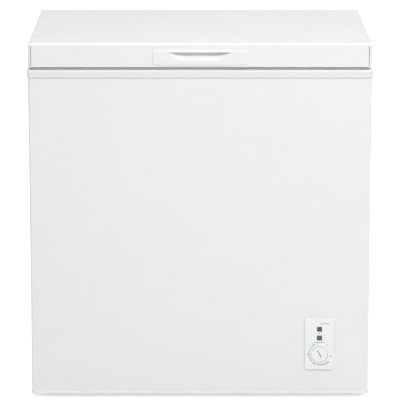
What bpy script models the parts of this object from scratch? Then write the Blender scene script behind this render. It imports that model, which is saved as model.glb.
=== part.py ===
"""Compact chest freezer: a foamed steel cabinet with an aluminium tub, a top-hinged lid on
two spring hinges, a lift-out wire basket and a refrigeration unit under a step in the tub.

Metres, +Z up, front towards -Y, +X to the right as seen from the front.
Sizes below are measured from the middle of the cabinet; the whole assembly hangs from one
empty that centres it between its foremost and rearmost points, standing on Z = 0."""

import math

import bmesh
import bpy
from mathutils import Vector

# ---------------------------------------------------------------- driving dimensions
GAP = 0.0003                 # between pieces that touch
FOLD_ROOM = 0.002            # keeps flat pieces clear of the wrap's rounded folds
SHEET = 0.0006               # outer steel
LINER_SHEET = 0.001          # aluminium tub
LID_SHEET = 0.0008

WRAP_WIDTH = 0.800
WRAP_DEPTH = 0.540
WRAP_HEIGHT = 0.763          # painted sheet that shows below the top frame
WRAP_RADIUS = 0.005
WRAP_LIP = 0.015             # folded edge under the cabinet and behind it
FOOT_HEIGHT = 0.010
FOOT_RADIUS = 0.018
FOOT_INSET = 0.048

WALL = 0.072                 # outer face to tub
FLOOR_WALL = 0.080
TUB_RADIUS = 0.022
STEP_WIDTH = 0.224           # raised floor over the compressor
STEP_HEIGHT = 0.250
STEP_WALL = 0.050            # foam between the step and the machine compartment

FRAME_HEIGHT = 0.018         # plastic top frame
FRAME_PROUD = 0.0025
FRAME_SHEET = 0.0025
FRAME_LEG = 0.0022
FRAME_SEAT = 0.050           # flat width under the gasket
LEDGE_DROP = 0.010           # basket ledge below the gasket seat
FRAME_SKIRT = 0.024          # down the inside of the tub

SEAL_GAP = 0.007             # between frame and lid
LID_HEIGHT = 0.056
LID_WIDTH = 0.798
LID_EDGE = 0.005             # rounded top edge
LID_RADIUS = 0.006
LID_LIP = 0.010
GASKET_INSET = 0.0115
GASKET_WIDTH = 0.014
PLUG_INSET = 0.100           # raised middle of the lid's inner panel
PLUG_DROP = 0.008
PLUG_SLOPE = 0.020
INNER_PANEL = 0.002

GRIP_WIDTH = 0.2185          # lid handle
GRIP_DROP = 0.0139           # below the lid's top
GRIP_RISE = 0.0042           # above the lid's bottom edge
GRIP_PLATE = 0.0017
GRIP_CHAMFER = 0.0065
POCKET_TOP_WIDTH = 0.152
POCKET_BOTTOM_WIDTH = 0.110
POCKET_BELOW = 0.0076        # under the handle plate's top
POCKET_ABOVE = 0.0100        # over the handle plate's bottom
POCKET_DEPTH = 0.018
POCKET_WALL = 0.002

HINGE_PITCH = 0.520          # between the two hinges
HINGE_WIDTH = 0.040
HINGE_SHEET = 0.0015
HINGE_HEIGHT = 0.130
HINGE_FLANGE = 0.012
PIN_RADIUS = 0.0025
PIN_BEHIND = 0.012           # pin behind the frame's back
PIN_ABOVE = 0.004            # pin above the frame's top
EAR_RADIUS = 0.008
LEVER = 0.008                # leaf's lever that works the slider
LEVER_RADIUS = 0.0025
LEVER_ANGLE = math.radians(35)
LEAF_WIDTH = 0.060
LEAF_MARGIN = 0.008          # lid skirt left above and below the leaf
SLIDER_HEIGHT = 0.010
SPRING_RADIUS = 0.006
SPRING_WIRE = 0.0009
SPRING_TURNS = 8

PANEL_WIDTH = 0.069          # control panel
PANEL_HEIGHT = 0.125
PANEL_PROUD = 0.004
PANEL_RADIUS = 0.003
PANEL_INSET = 0.1167         # its middle from the cabinet's right side
PANEL_ABOVE = 0.133          # its middle from the floor
DIAL_BELOW = 0.0252          # dial under the panel's middle
DIAL_RADIUS = 0.0195
DIAL_ROOM = 0.0005           # between the dial and its ring
RING_RADIUS = 0.0242         # raised ring round the dial
RING_PROUD = 0.0020
DIAL_PROUD = 0.0015          # in front of the panel
DIAL_DEPTH = 0.0045
SLOT_LENGTH = 0.0200         # coin slot across the dial
SLOT_WIDTH = 0.0026
SLOT_DEPTH = 0.0012
SLOT_TURN = math.radians(31)
SHAFT_RADIUS = 0.003
LAMP_SIDE = 0.0116
LAMP_ABOVE = (0.0362, 0.0146)

GRILLE_SHEET = 0.0015
GRILLE_SLOTS = 9
GRILLE_SLOT = 0.006          # height of one slot
GRILLE_BRIDGE = 0.012        # metal left between the two columns of slots
COMPRESSOR_RADIUS = 0.068
COMPRESSOR_HEIGHT = 0.165
COMPRESSOR_WALL = 0.003
COMPRESSOR_BACK = 0.150      # its middle from the cabinet's back
CARRIER_SHEET = 0.002        # plate that carries the compressor on its mounts
CARRIER_REACH = 0.014        # past the mounts
CARRIER_CORNER = 0.012
CARRIER_LIFT = 0.0078        # over the base plate
GROMMET_RADIUS = 0.010
GROMMET_NECK = 0.0063
GROMMET_ABOVE = 0.0045       # over the carrier
BOLT_SHANK = 0.0032
BOLT_BOTTOM = 0.007          # the mounting bolts' ends, above the floor
BOLT_HEAD = 0.0085
BOLT_HEAD_HEIGHT = 0.0035
MOUNT_X = 0.088              # rubber mounts from the compressor's middle
MOUNT_Y = 0.045

EVAPORATOR_RADIUS = 0.004
EVAPORATOR_TURNS = 5
CONDENSER_RADIUS = 0.0024
CONDENSER_TURNS = 3

DRIER_RADIUS = 0.0095
DRIER_LENGTH = 0.090

DRAIN_RADIUS = 0.0105
DRAIN_BORE = 0.0085
BASKET_WIDTH = 0.210
BASKET_HEIGHT = 0.160
BASKET_WALL = 0.003
BASKET_GAP = 0.009           # between basket and top frame

# ---------------------------------------------------------------- sizes that follow
HALF_X = WRAP_WIDTH / 2
HALF_Y = WRAP_DEPTH / 2
BASE_Z = FOOT_HEIGHT
WRAP_TOP = FOOT_HEIGHT + WRAP_HEIGHT
FRAME_TOP = WRAP_TOP + FRAME_HEIGHT
LID_BOTTOM = FRAME_TOP + SEAL_GAP
LID_TOP = LID_BOTTOM + LID_HEIGHT
FRAME_X = HALF_X + FRAME_PROUD
FRAME_Y = HALF_Y + FRAME_PROUD
LEDGE_Z = FRAME_TOP - LEDGE_DROP
LID_X = LID_WIDTH / 2
LID_Y = FRAME_Y
TUB_X = HALF_X - WALL
TUB_Y = HALF_Y - WALL
TUB_FLOOR = BASE_Z + FLOOR_WALL
STEP_X = TUB_X - STEP_WIDTH
STEP_TOP = TUB_FLOOR + STEP_HEIGHT
LINER_TOP = LEDGE_Z - FRAME_SHEET - GAP
BAY_X = STEP_X + STEP_WALL                    # machine compartment's inner wall
BAY_TOP = STEP_TOP - STEP_WALL
BACK_FACE = HALF_Y - SHEET - GAP              # outer face of the back panel
FLOOR_SHEET_Z = BASE_Z + SHEET + GAP
FOAM_BOTTOM = FLOOR_SHEET_Z + SHEET + GAP
PIN_Y = FRAME_Y + PIN_BEHIND
PIN_Z = FRAME_TOP + PIN_ABOVE
HINGE_BACK = PIN_Y + EAR_RADIUS + 0.0005
HINGE_TOP = WRAP_TOP - 0.004
HINGE_X = HINGE_PITCH / 2
PANEL_X = HALF_X - PANEL_INSET
DIAL_Z = PANEL_ABOVE - DIAL_BELOW
PANEL_FACE = -HALF_Y - PANEL_PROUD
DIAL_FACE = PANEL_FACE - DIAL_PROUD
GRIP_FACE = -LID_Y - GAP - GRIP_PLATE
GRIP_HEIGHT = LID_HEIGHT - GRIP_DROP - GRIP_RISE
POCKET_HEIGHT = GRIP_HEIGHT - POCKET_BELOW - POCKET_ABOVE
LEAF_HEIGHT = LID_HEIGHT - 2 * LEAF_MARGIN
FRONT_REACH = min(PANEL_FACE - RING_PROUD, GRIP_FACE)
CENTRE_Y = -(FRONT_REACH + HINGE_BACK) / 2    # moves the assembly's middle to Y = 0
EVAPORATOR_X = TUB_X + LINER_SHEET + GAP + EVAPORATOR_RADIUS
EVAPORATOR_TAILS = (0.040, -0.040, BAY_TOP - 0.040)      # near Y, far Y, and their ends' height
CONDENSER_X = HALF_X - SHEET - FOLD_ROOM - CONDENSER_RADIUS
CONDENSER_TAILS = (0.020, -0.020, BAY_TOP - 0.030)
COMPRESSOR_X = (BAY_X + HALF_X) / 2
COMPRESSOR_Y = HALF_Y - COMPRESSOR_BACK
PLATE_TOP = FLOOR_SHEET_Z + HINGE_SHEET
DRAIN_X = -TUB_X + 0.128
DRAIN_Y = -TUB_Y + 0.078
DRAIN_OUT_Z = BASE_Z + 0.038
BASKET_X = TUB_X - 0.003 - BASKET_WIDTH / 2 - BASKET_GAP
BASKET_Y = TUB_Y - FRAME_LEG - GAP - BASKET_GAP

CORNER_STEPS = 4
ROUND_SIDES = 16
PIPE_SIDES = 6


# ---------------------------------------------------------------- finishes and placing
def finish(name, colour, roughness, metallic=0.0):
    made = bpy.data.materials.new(name)
    made.use_nodes = True
    shader = made.node_tree.nodes["Principled BSDF"]
    shader.inputs["Base Color"].default_value = (*colour, 1.0)
    shader.inputs["Roughness"].default_value = roughness
    shader.inputs["Metallic"].default_value = metallic
    made.diffuse_color = (*colour, 1.0)
    return made


def empty(name, place, parent=None):
    """A joint's axis point, or the assembly's own, in cabinet coordinates."""
    made = bpy.data.objects.new(name, None)
    bpy.context.scene.collection.objects.link(made)
    made.parent = parent
    made.location = place
    return made


def place(name, bm, material, parent):
    """A piece whose mesh is drawn in cabinet coordinates, hung from the cabinet or a joint."""
    bmesh.ops.recalc_face_normals(bm, faces=bm.faces)
    mesh = bpy.data.meshes.new(name)
    bm.to_mesh(mesh)
    bm.free()
    made = bpy.data.objects.new(name, mesh)
    bpy.context.scene.collection.objects.link(made)
    mesh.materials.append(material)
    mesh.shade_smooth()
    mesh.set_sharp_from_angle(angle=math.radians(35))
    made.parent = parent
    if parent.parent:
        made.location = -parent.location
    return made


def tool(name, bm, parent):
    """A hidden shape that cuts or joins another."""
    made = place(name, bm, HIDDEN, parent)
    made.hide_render = True
    made.display_type = "WIRE"
    return made


def boolean(piece, operation, *tools):
    for other in tools:
        made = piece.modifiers.new(f"{operation.lower()}_{other.name}", "BOOLEAN")
        made.operation = operation
        made.solver = "EXACT"
        made.object = other


def cut(piece, *tools):
    boolean(piece, "DIFFERENCE", *tools)


def join(piece, *tools):
    boolean(piece, "UNION", *tools)


# ---------------------------------------------------------------- shapes
def loft(rings, closed=False):
    """Skin through rings of equal length: capped at both ends, or closed into a hoop."""
    bm = bmesh.new()
    loops = [[bm.verts.new(point) for point in ring] for ring in rings]
    pairs = list(zip(loops, loops[1:]))
    if closed:
        pairs.append((loops[-1], loops[0]))
    else:
        bm.faces.new(loops[0])
        bm.faces.new(loops[-1])
    for low, high in pairs:
        for i in range(len(low)):
            j = (i + 1) % len(low)
            bm.faces.new((low[i], low[j], high[j], high[i]))
    return bm


def rounded(half_x, half_y, radius, z, steps=CORNER_STEPS):
    """A level rectangle with round corners, anticlockwise from above."""
    corners = ((1, -1, -90), (1, 1, 0), (-1, 1, 90), (-1, -1, 180))
    ring = []
    for sign_x, sign_y, start in corners:
        for step in range(steps + 1):
            angle = math.radians(start + 90 * step / steps)
            x = sign_x * (half_x - radius) + radius * math.cos(angle)
            y = sign_y * (half_y - radius) + radius * math.sin(angle)
            ring.append((x, y, z))
    return ring


def oriented(outline, along, axis):
    """A flat outline stood across an axis: (y, z) for X, (x, z) for Y and (x, y) for Z."""
    order = {
        "X": lambda a, b: (along, a, b),
        "Y": lambda a, b: (a, along, b),
        "Z": lambda a, b: (a, b, along),
    }
    return [order[axis](a, b) for a, b in outline]


def prism(outline, low, high, axis):
    return loft([oriented(outline, low, axis), oriented(outline, high, axis)])


def rectangle(low_a, high_a, low_b, high_b):
    return [(low_a, low_b), (high_a, low_b), (high_a, high_b), (low_a, high_b)]


def box(x, y, z):
    """A block from three (low, high) pairs."""
    return prism(rectangle(*x, *y), z[0], z[1], "Z")


def boxes(blocks):
    """Several separate blocks in one mesh, for a row of holes."""
    whole = bmesh.new()
    for block in blocks:
        part = box(*block)
        mesh = bpy.data.meshes.new("block")
        part.to_mesh(mesh)
        part.free()
        whole.from_mesh(mesh)
        bpy.data.meshes.remove(mesh)
    return whole


def circle(centre, radius, sides=ROUND_SIDES):
    return [
        (
            centre[0] + radius * math.cos(math.tau * (i + 0.5) / sides),
            centre[1] + radius * math.sin(math.tau * (i + 0.5) / sides),
        )
        for i in range(sides)
    ]


def turned(profile, centre, axis, sides=ROUND_SIDES, closed=False):
    """A turned piece: (radius, place along the axis) pairs about a centre line."""
    return loft([oriented(circle(centre, r, sides), along, axis) for r, along in profile], closed)


def rounded_plate(low_a, high_a, low_b, high_b, radius, steps=3):
    """A flat outline with round corners."""
    middle = Vector(((low_a + high_a) / 2, (low_b + high_b) / 2))
    ring = rounded((high_a - low_a) / 2, (high_b - low_b) / 2, radius, 0, steps)
    return [(middle.x + x, middle.y + y) for x, y, _ in ring]


def smooth(points, steps=4):
    """A Catmull-Rom curve through a pipe's own points."""
    points = [Vector(p) for p in points]
    ends = [2 * points[0] - points[1], *points, 2 * points[-1] - points[-2]]
    route = []
    for a, b, c, d in zip(ends, ends[1:], ends[2:], ends[3:]):
        for step in range(steps):
            t = step / steps
            route.append(
                0.5 * (2 * b + (c - a) * t
                       + (2 * a - 5 * b + 4 * c - d) * t**2
                       + (3 * b - a - 3 * c + d) * t**3)
            )
    return [*route, points[-1]]


def pipe(route, radius, sides=PIPE_SIDES):
    """A round bar along a route, its section carried along without twist."""
    route = [Vector(p) for p in route]
    across = (route[1] - route[0]).orthogonal().normalized()
    rings = []
    for i, point in enumerate(route):
        before = route[max(i - 1, 0)]
        after = route[min(i + 1, len(route) - 1)]
        ahead = (after - before).normalized()
        across = (across - ahead * across.dot(ahead)).normalized()
        side = ahead.cross(across)
        turns = [math.tau * (k + 0.5) / sides for k in range(sides)]
        rings.append([point + radius * (across * math.cos(t) + side * math.sin(t)) for t in turns])
    return loft(rings)


def stretched(route, by):
    """The same route with both ends run on a little further."""
    route = [Vector(p) for p in route]
    start = route[0] + (route[0] - route[1]).normalized() * by
    end = route[-1] + (route[-1] - route[-2]).normalized() * by
    return [start, *route[1:-1], end]


# ---------------------------------------------------------------- cabinet
def tub_space(name, grow, top, root):
    """The tub's L-shaped space, grown by a sheet or a gap, as a cutting shape."""
    space = tool(
        name,
        loft([
            rounded(TUB_X + grow, TUB_Y + grow, TUB_RADIUS + grow, TUB_FLOOR - grow),
            rounded(TUB_X + grow, TUB_Y + grow, TUB_RADIUS + grow, top),
        ]),
        root,
    )
    under_step = box(
        (STEP_X + grow, HALF_X),
        (-HALF_Y, HALF_Y),
        (0, STEP_TOP - grow),
    )
    cut(space, tool(f"{name}_under_step", under_step, root))
    return space


def cabinet_shell(root):
    top = FRAME_TOP - FRAME_SHEET - 2 * GAP - 0.003
    wrap = place(
        "cabinet_wrap",
        loft([rounded(HALF_X, HALF_Y, WRAP_RADIUS, BASE_Z), rounded(HALF_X, HALF_Y, WRAP_RADIUS, top)]),
        WHITE_STEEL,
        root,
    )
    inner_x = HALF_X - SHEET
    inner_y = HALF_Y - SHEET
    inside = loft([
        rounded(inner_x, inner_y, WRAP_RADIUS - SHEET, BASE_Z + SHEET),
        rounded(inner_x, inner_y, WRAP_RADIUS - SHEET, top + 0.01),
    ])
    open_x, open_y = HALF_X - WRAP_LIP, HALF_Y - WRAP_LIP
    under = box((-open_x, open_x), (-open_y, open_y), (0, BASE_Z + 0.01))
    behind = box((-HALF_X + WRAP_LIP, HALF_X - WRAP_LIP), (0, HALF_Y + 0.01), (BASE_Z + SHEET, top + 0.01))
    panel_hole = box(
        (PANEL_X - PANEL_WIDTH / 2 + 0.008, PANEL_X + PANEL_WIDTH / 2 - 0.008),
        (-HALF_Y - 0.01, -HALF_Y + 0.01),
        (PANEL_ABOVE - PANEL_HEIGHT / 2 + 0.012, PANEL_ABOVE + PANEL_HEIGHT / 2 - 0.012),
    )
    outlet = circle((DRAIN_Y, DRAIN_OUT_Z), DRAIN_BORE + GAP)
    drain_hole = prism(outlet, -HALF_X - 0.01, -HALF_X + 0.01, "X")
    cut(
        wrap,
        tool("wrap_inside", inside, root),
        tool("wrap_under", under, root),
        tool("wrap_behind", behind, root),
        tool("wrap_panel_hole", panel_hole, root),
        tool("wrap_drain_hole", drain_hole, root),
    )

    back_low = BACK_FACE - SHEET
    back = place(
        "back_panel",
        box((-inner_x + WRAP_RADIUS, inner_x - WRAP_RADIUS), (back_low, BACK_FACE), (FLOOR_SHEET_Z, top)),
        GALVANISED,
        root,
    )
    cut(back, tool("back_bay_hole", box(bay_hole_x(), (0, HALF_Y + 0.01), bay_hole_z()), root))

    floor_y = back_low - GAP
    place(
        "bottom_panel",
        box(
            (-inner_x + FOLD_ROOM, BAY_X),
            (-inner_y + FOLD_ROOM, floor_y),
            (FLOOR_SHEET_Z, FLOOR_SHEET_Z + SHEET),
        ),
        GALVANISED,
        root,
    )


def bay_hole_x():
    return (BAY_X + 0.017, HALF_X - WRAP_LIP - 0.001)


def bay_hole_z():
    return (BASE_Z + 0.015, BAY_TOP - 0.023)


def tub_and_foam(root, channels, drain_channel):
    liner = place(
        "inner_liner",
        loft([
            rounded(
                TUB_X + LINER_SHEET, TUB_Y + LINER_SHEET, TUB_RADIUS + LINER_SHEET,
                TUB_FLOOR - LINER_SHEET,
            ),
            rounded(TUB_X + LINER_SHEET, TUB_Y + LINER_SHEET, TUB_RADIUS + LINER_SHEET, LINER_TOP),
        ]),
        ALUMINIUM,
        root,
    )
    below = box((STEP_X + LINER_SHEET, HALF_X), (-HALF_Y, HALF_Y), (0, STEP_TOP - LINER_SHEET))
    bore = DRAIN_BORE + GAP
    drain_hole = turned([(bore, 0.0), (bore, TUB_FLOOR + 0.01)], (DRAIN_X, DRAIN_Y), "Z")
    cut(
        liner,
        tool("liner_under_step", below, root),
        tub_space("liner_inside", 0.0, LINER_TOP + 0.01, root),
        tool("liner_drain_hole", drain_hole, root),
    )

    side_x = HALF_X - SHEET - GAP
    front_y = -HALF_Y + SHEET + GAP
    back_y = BACK_FACE - SHEET - GAP
    foam = place(
        "foam_insulation",
        box(
            (-side_x + FOLD_ROOM, side_x - FOLD_ROOM),
            (front_y + FOLD_ROOM, back_y),
            (FOAM_BOTTOM, LINER_TOP),
        ),
        FOAM,
        root,
    )
    bay = box((BAY_X - SHEET - GAP, HALF_X), (-HALF_Y, HALF_Y), (0, BAY_TOP + GAP))
    cut(
        foam,
        tub_space("foam_tub", LINER_SHEET + GAP, LINER_TOP + 0.01, root),
        tool("foam_bay", bay, root),
        *channels,
        drain_channel,
    )


def top_frame(root):
    """A swept moulding: outer leg, gasket seat, basket ledge and inner skirt."""
    seat = FRAME_TOP
    under = FRAME_TOP - FRAME_SHEET
    inner = FRAME_X - TUB_X + GAP              # inner skirt's outer face
    edge = inner + FRAME_LEG
    section = (
        (0.0, WRAP_TOP),
        (0.0, seat - 0.002),
        (0.002, seat),
        (FRAME_SEAT, seat),
        (FRAME_SEAT + 0.001, LEDGE_Z),
        (edge - 0.001, LEDGE_Z),
        (edge, LEDGE_Z - 0.001),
        (edge, LEDGE_Z - FRAME_SKIRT),
        (inner, LEDGE_Z - FRAME_SKIRT),
        (inner, LEDGE_Z - FRAME_SHEET),
        (FRAME_SEAT - 0.0015, LEDGE_Z - FRAME_SHEET),
        (FRAME_SEAT - 0.0025, under),
        (FRAME_LEG, under),
        (FRAME_LEG, WRAP_TOP),
    )
    outer_radius = WRAP_RADIUS + FRAME_PROUD
    leg_radius = outer_radius - FRAME_LEG
    rings = []
    for inset, z in section:
        inward = max(inset - FRAME_LEG, 0) / (edge - FRAME_LEG)
        radius = leg_radius + (TUB_RADIUS - leg_radius) * inward + max(FRAME_LEG - inset, 0)
        rings.append(rounded(FRAME_X - inset, FRAME_Y - inset, radius, z))
    place("top_frame", loft(rings, closed=True), FRAME_PLASTIC, root)


def feet(root):
    for side, sign_x in (("left", -1), ("right", 1)):
        for end, sign_y in (("front", -1), ("rear", 1)):
            centre = (sign_x * (HALF_X - FOOT_INSET), sign_y * (HALF_Y - FOOT_INSET))
            profile = (
                (FOOT_RADIUS - 0.002, 0.0),
                (FOOT_RADIUS, 0.002),
                (FOOT_RADIUS, FOOT_HEIGHT - 0.003),
                (FOOT_RADIUS - 0.004, FOOT_HEIGHT - GAP),
            )
            place(f"foot_{end}_{side}", turned(profile, centre, "Z"), BLACK_RUBBER, root)


# ---------------------------------------------------------------- refrigeration
def eased(points, reach, steps=3):
    """A run of straight pipe with each of its corners drawn as a bend."""
    points = [Vector(p) for p in points]
    route = [points[0]]
    for before, corner, after in zip(points, points[1:], points[2:]):
        start = corner + (before - corner).normalized() * reach
        end = corner + (after - corner).normalized() * reach
        for step in range(steps + 1):
            t = step / steps
            route.append(start * (1 - t) ** 2 + corner * 2 * t * (1 - t) + end * t**2)
    return [*route, points[-1]]


def wall_coil(half_x, half_y, low, high, turns, bend, aside, tails):
    """A pipe wound evenly round a box, with both tails down at the right-hand side.

    The coil climbs from its near tail; its far tail comes down past the turns, to one side."""
    near_y, far_y, tail_z = tails
    ring = rounded(half_x, half_y, bend, 0.0, steps=2)
    count = len(ring)
    middle = []
    for index in range(turns * count):
        x, y, _ = ring[(index + count // 4) % count]
        middle.append((x, y, low + (high - low) * (index + 1) / (turns * count)))
    reach = 0.012
    first = eased([(half_x, near_y, tail_z), (half_x, near_y, low), middle[0]], reach)
    last = eased(
        [
            middle[-1],
            (half_x, far_y - 0.050, high),
            (half_x + aside, far_y, high),
            (half_x + aside, far_y, tail_z),
        ],
        reach,
    )
    return [*first, *middle[1:-1], *last]


def pipes_round_walls(root):
    """The evaporator on the tub and the condenser inside the wrap, with the foam's channels for them."""
    evaporator = wall_coil(
        EVAPORATOR_X,
        TUB_Y + LINER_SHEET + GAP + EVAPORATOR_RADIUS,
        STEP_TOP + 0.030,
        LINER_TOP - 0.050,
        EVAPORATOR_TURNS,
        TUB_RADIUS - EVAPORATOR_RADIUS,
        2.5 * EVAPORATOR_RADIUS,
        EVAPORATOR_TAILS,
    )
    condenser = wall_coil(
        CONDENSER_X,
        BACK_FACE - SHEET - FOLD_ROOM - CONDENSER_RADIUS,
        BAY_TOP + 0.080,
        LINER_TOP - 0.030,
        CONDENSER_TURNS,
        0.020,
        -2.5 * CONDENSER_RADIUS,
        CONDENSER_TAILS,
    )
    channels = []
    for name, route, radius, material in (
        ("evaporator_coil", evaporator, EVAPORATOR_RADIUS, ALUMINIUM),
        ("condenser_coil", condenser, CONDENSER_RADIUS, DARK_STEEL),
    ):
        place(name, pipe(route, radius), material, root)
        channels.append(tool(f"{name}_channel", pipe(stretched(route, 2 * GAP), radius + 2 * GAP), root))
    return channels


def machine_bay(root, channels):
    side_x = HALF_X - SHEET - FOLD_ROOM
    front_y = -HALF_Y + SHEET + FOLD_ROOM
    back_y = BACK_FACE - SHEET - GAP
    lining = [
        (BAY_X - SHEET, FOAM_BOTTOM),
        (BAY_X, FOAM_BOTTOM),
        (BAY_X, BAY_TOP - SHEET),
        (side_x, BAY_TOP - SHEET),
        (side_x, BAY_TOP),
        (BAY_X - SHEET, BAY_TOP),
    ]
    cut(place("compartment_lining", prism(lining, front_y, back_y, "Y"), GALVANISED, root), *channels)

    plate = place(
        "compressor_base_plate",
        box((BAY_X + 0.002, side_x), (front_y, back_y), (FLOOR_SHEET_Z, PLATE_TOP)),
        GALVANISED,
        root,
    )
    mounts = [
        (COMPRESSOR_X + sx * MOUNT_X, COMPRESSOR_Y + sy * MOUNT_Y)
        for sx in (-1, 1)
        for sy in (-1, 1)
    ]
    shank = BOLT_SHANK
    reach_x, reach_y = MOUNT_X + CARRIER_REACH, MOUNT_Y + CARRIER_REACH
    carrier_z = PLATE_TOP + CARRIER_LIFT
    carrier_top = carrier_z + CARRIER_SHEET
    carrier = place(
        "compressor_carrier",
        prism(
            rounded_plate(
                COMPRESSOR_X - reach_x, COMPRESSOR_X + reach_x,
                COMPRESSOR_Y - reach_y, COMPRESSOR_Y + reach_y, CARRIER_CORNER,
            ),
            carrier_z, carrier_top, "Z",
        ),
        BLACK_STEEL,
        root,
    )
    for number, mount in enumerate(mounts, 1):
        hole = turned([(shank + GAP, 0.0), (shank + GAP, PLATE_TOP + 0.003)], mount, "Z", 12)
        cut(plate, tool(f"plate_hole_{number}", hole, root))
        seat_radius = GROMMET_NECK + 0.0005
        seat = turned([(seat_radius, carrier_z - 0.003), (seat_radius, carrier_z + 0.005)], mount, "Z", 12)
        cut(carrier, tool(f"carrier_hole_{number}", seat, root))
        low = PLATE_TOP + GAP
        high = carrier_top + GROMMET_ABOVE
        rubber = (
            (GROMMET_RADIUS, low), (GROMMET_RADIUS, carrier_z - 2 * GAP), (GROMMET_NECK, carrier_z - GAP),
            (GROMMET_NECK, carrier_top + GAP), (GROMMET_RADIUS, carrier_top + 2 * GAP),
            (GROMMET_RADIUS, high), (shank + GAP, high), (shank + GAP, low),
        )
        grommet = turned(rubber, mount, "Z", 12, closed=True)
        place(f"compressor_grommet_{number}", grommet, BLACK_RUBBER, root)
        bolt = (
            (shank, BOLT_BOTTOM),
            (shank, high + GAP),
            (BOLT_HEAD, high + GAP),
            (BOLT_HEAD - 0.001, high + BOLT_HEAD_HEIGHT),
        )
        place(f"compressor_bolt_{number}", turned(bolt, mount, "Z", 12), ZINC, root)

    centre = (COMPRESSOR_X, COMPRESSOR_Y)
    low = carrier_top + GAP
    weld = low + COMPRESSOR_HEIGHT * 0.52
    high = low + COMPRESSOR_HEIGHT
    r, wall = COMPRESSOR_RADIUS, COMPRESSOR_WALL
    pan = (
        (r * 0.60, low), (r * 0.88, low + 0.008), (r, low + 0.028), (r, weld - 0.003),
        (r + 0.005, weld - 0.003), (r + 0.005, weld), (r - wall, weld), (r - wall, low + 0.028),
        (r * 0.85, low + 0.012), (r * 0.58, low + wall),
    )
    cap = (
        (r * 0.45, high), (r * 0.80, high - 0.010), (r * 0.96, high - 0.030), (r, high - 0.050),
        (r, weld + 0.0035), (r + 0.005, weld + 0.0035), (r + 0.005, weld + GAP), (r - wall, weld + GAP),
        (r - wall, high - 0.050),
        (r * 0.92, high - 0.031), (r * 0.77, high - 0.013), (r * 0.43, high - wall),
    )
    place("compressor_lower_shell", turned(pan, centre, "Z"), BLACK_STEEL, root)
    place("compressor_upper_shell", turned(cap, centre, "Z"), BLACK_STEEL, root)
    motor = (
        (0.020, low + 0.016), (0.052, low + 0.018), (0.052, low + 0.085), (0.035, low + 0.087),
        (0.035, high - 0.035), (0.012, high - 0.033),
    )
    place("compressor_motor", turned(motor, centre, "Z"), DARK_STEEL, root)

    relay_x = COMPRESSOR_X - r - 0.0008
    place(
        "start_relay_cover",
        box(
            (relay_x - 0.026, relay_x),
            (COMPRESSOR_Y - 0.030, COMPRESSOR_Y + 0.030),
            (low + 0.020, weld - 0.006),
        ),
        BLACK_PLASTIC,
        root,
    )
    return low, relay_x


def pipework(root, low):
    """Bay pipes: each starts just off the shell and ends face to face with its coil's tail."""
    front = COMPRESSOR_Y - COMPRESSOR_RADIUS - 0.001
    port_z = low + 0.045
    cold_near, cold_far, cold_z = EVAPORATOR_TAILS
    suction_end = Vector((EVAPORATOR_X, cold_near, cold_z - GAP))
    suction = smooth([
        (COMPRESSOR_X + 0.020, front + 0.0025, port_z + 0.012),
        (COMPRESSOR_X + 0.021, front - 0.018, port_z + 0.014),
        (COMPRESSOR_X + 0.040, front - 0.022, port_z + 0.060),
        suction_end + Vector((-0.001, -0.008, -0.055)),
        suction_end + Vector((0, 0, -0.014)),
        suction_end,
    ])
    place("suction_pipe", pipe(suction, 0.0035), COPPER, root)

    hot_near, hot_far, hot_z = CONDENSER_TAILS
    hot_end = Vector((CONDENSER_X, hot_near, hot_z - GAP))
    discharge = smooth([
        (COMPRESSOR_X + 0.005, front, port_z - 0.016),
        (COMPRESSOR_X + 0.006, front - 0.030, port_z - 0.018),
        (COMPRESSOR_X + 0.070, front - 0.045, port_z),
        hot_end + Vector((-0.004, -0.012, -0.090)),
        hot_end + Vector((0, 0, -0.020)),
        hot_end,
    ])
    place("discharge_pipe", pipe(discharge, CONDENSER_RADIUS), COPPER, root)
    process = smooth([
        (COMPRESSOR_X - 0.020, front + 0.0025, port_z + 0.010),
        (COMPRESSOR_X - 0.022, front - 0.020, port_z + 0.012),
        (COMPRESSOR_X - 0.024, front - 0.028, port_z + 0.050),
    ])
    place("process_stub", pipe(process, 0.003), COPPER, root)

    drier_x = CONDENSER_X + CONDENSER_RADIUS - DRIER_RADIUS
    drier_y = hot_far
    drier_high = hot_z - GAP
    drier_low = drier_high - DRIER_LENGTH
    drier = (
        (0.0032, drier_low),
        (DRIER_RADIUS, drier_low + 0.012),
        (DRIER_RADIUS, drier_high - 0.014),
        (0.0030, drier_high),
    )
    place("filter_drier", turned(drier, (drier_x, drier_y), "Z", 12), COPPER, root)
    turns, per_turn, coil = 3, 8, 0.014
    loop = [
        (
            drier_x - coil + coil * math.cos(math.tau * i / per_turn),
            drier_y - coil * math.sin(math.tau * i / per_turn),
            drier_low - GAP - 0.010 - 0.003 * i / per_turn,
        )
        for i in range(turns * per_turn + 1)
    ]
    end = Vector((EVAPORATOR_X + 2.5 * EVAPORATOR_RADIUS, cold_far, cold_z - GAP))
    capillary = [(drier_x, drier_y, drier_low - GAP), *loop]
    capillary += smooth([
        (drier_x - 0.004, drier_y - 0.016, loop[-1][2] + 0.002),
        (drier_x - 0.020, cold_far - 0.020, drier_low + 0.030),
        end + Vector((0, -0.006, -0.030)),
        end,
    ])
    place("capillary_tube", pipe(capillary, 0.0010, 4), COPPER, root)


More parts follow.
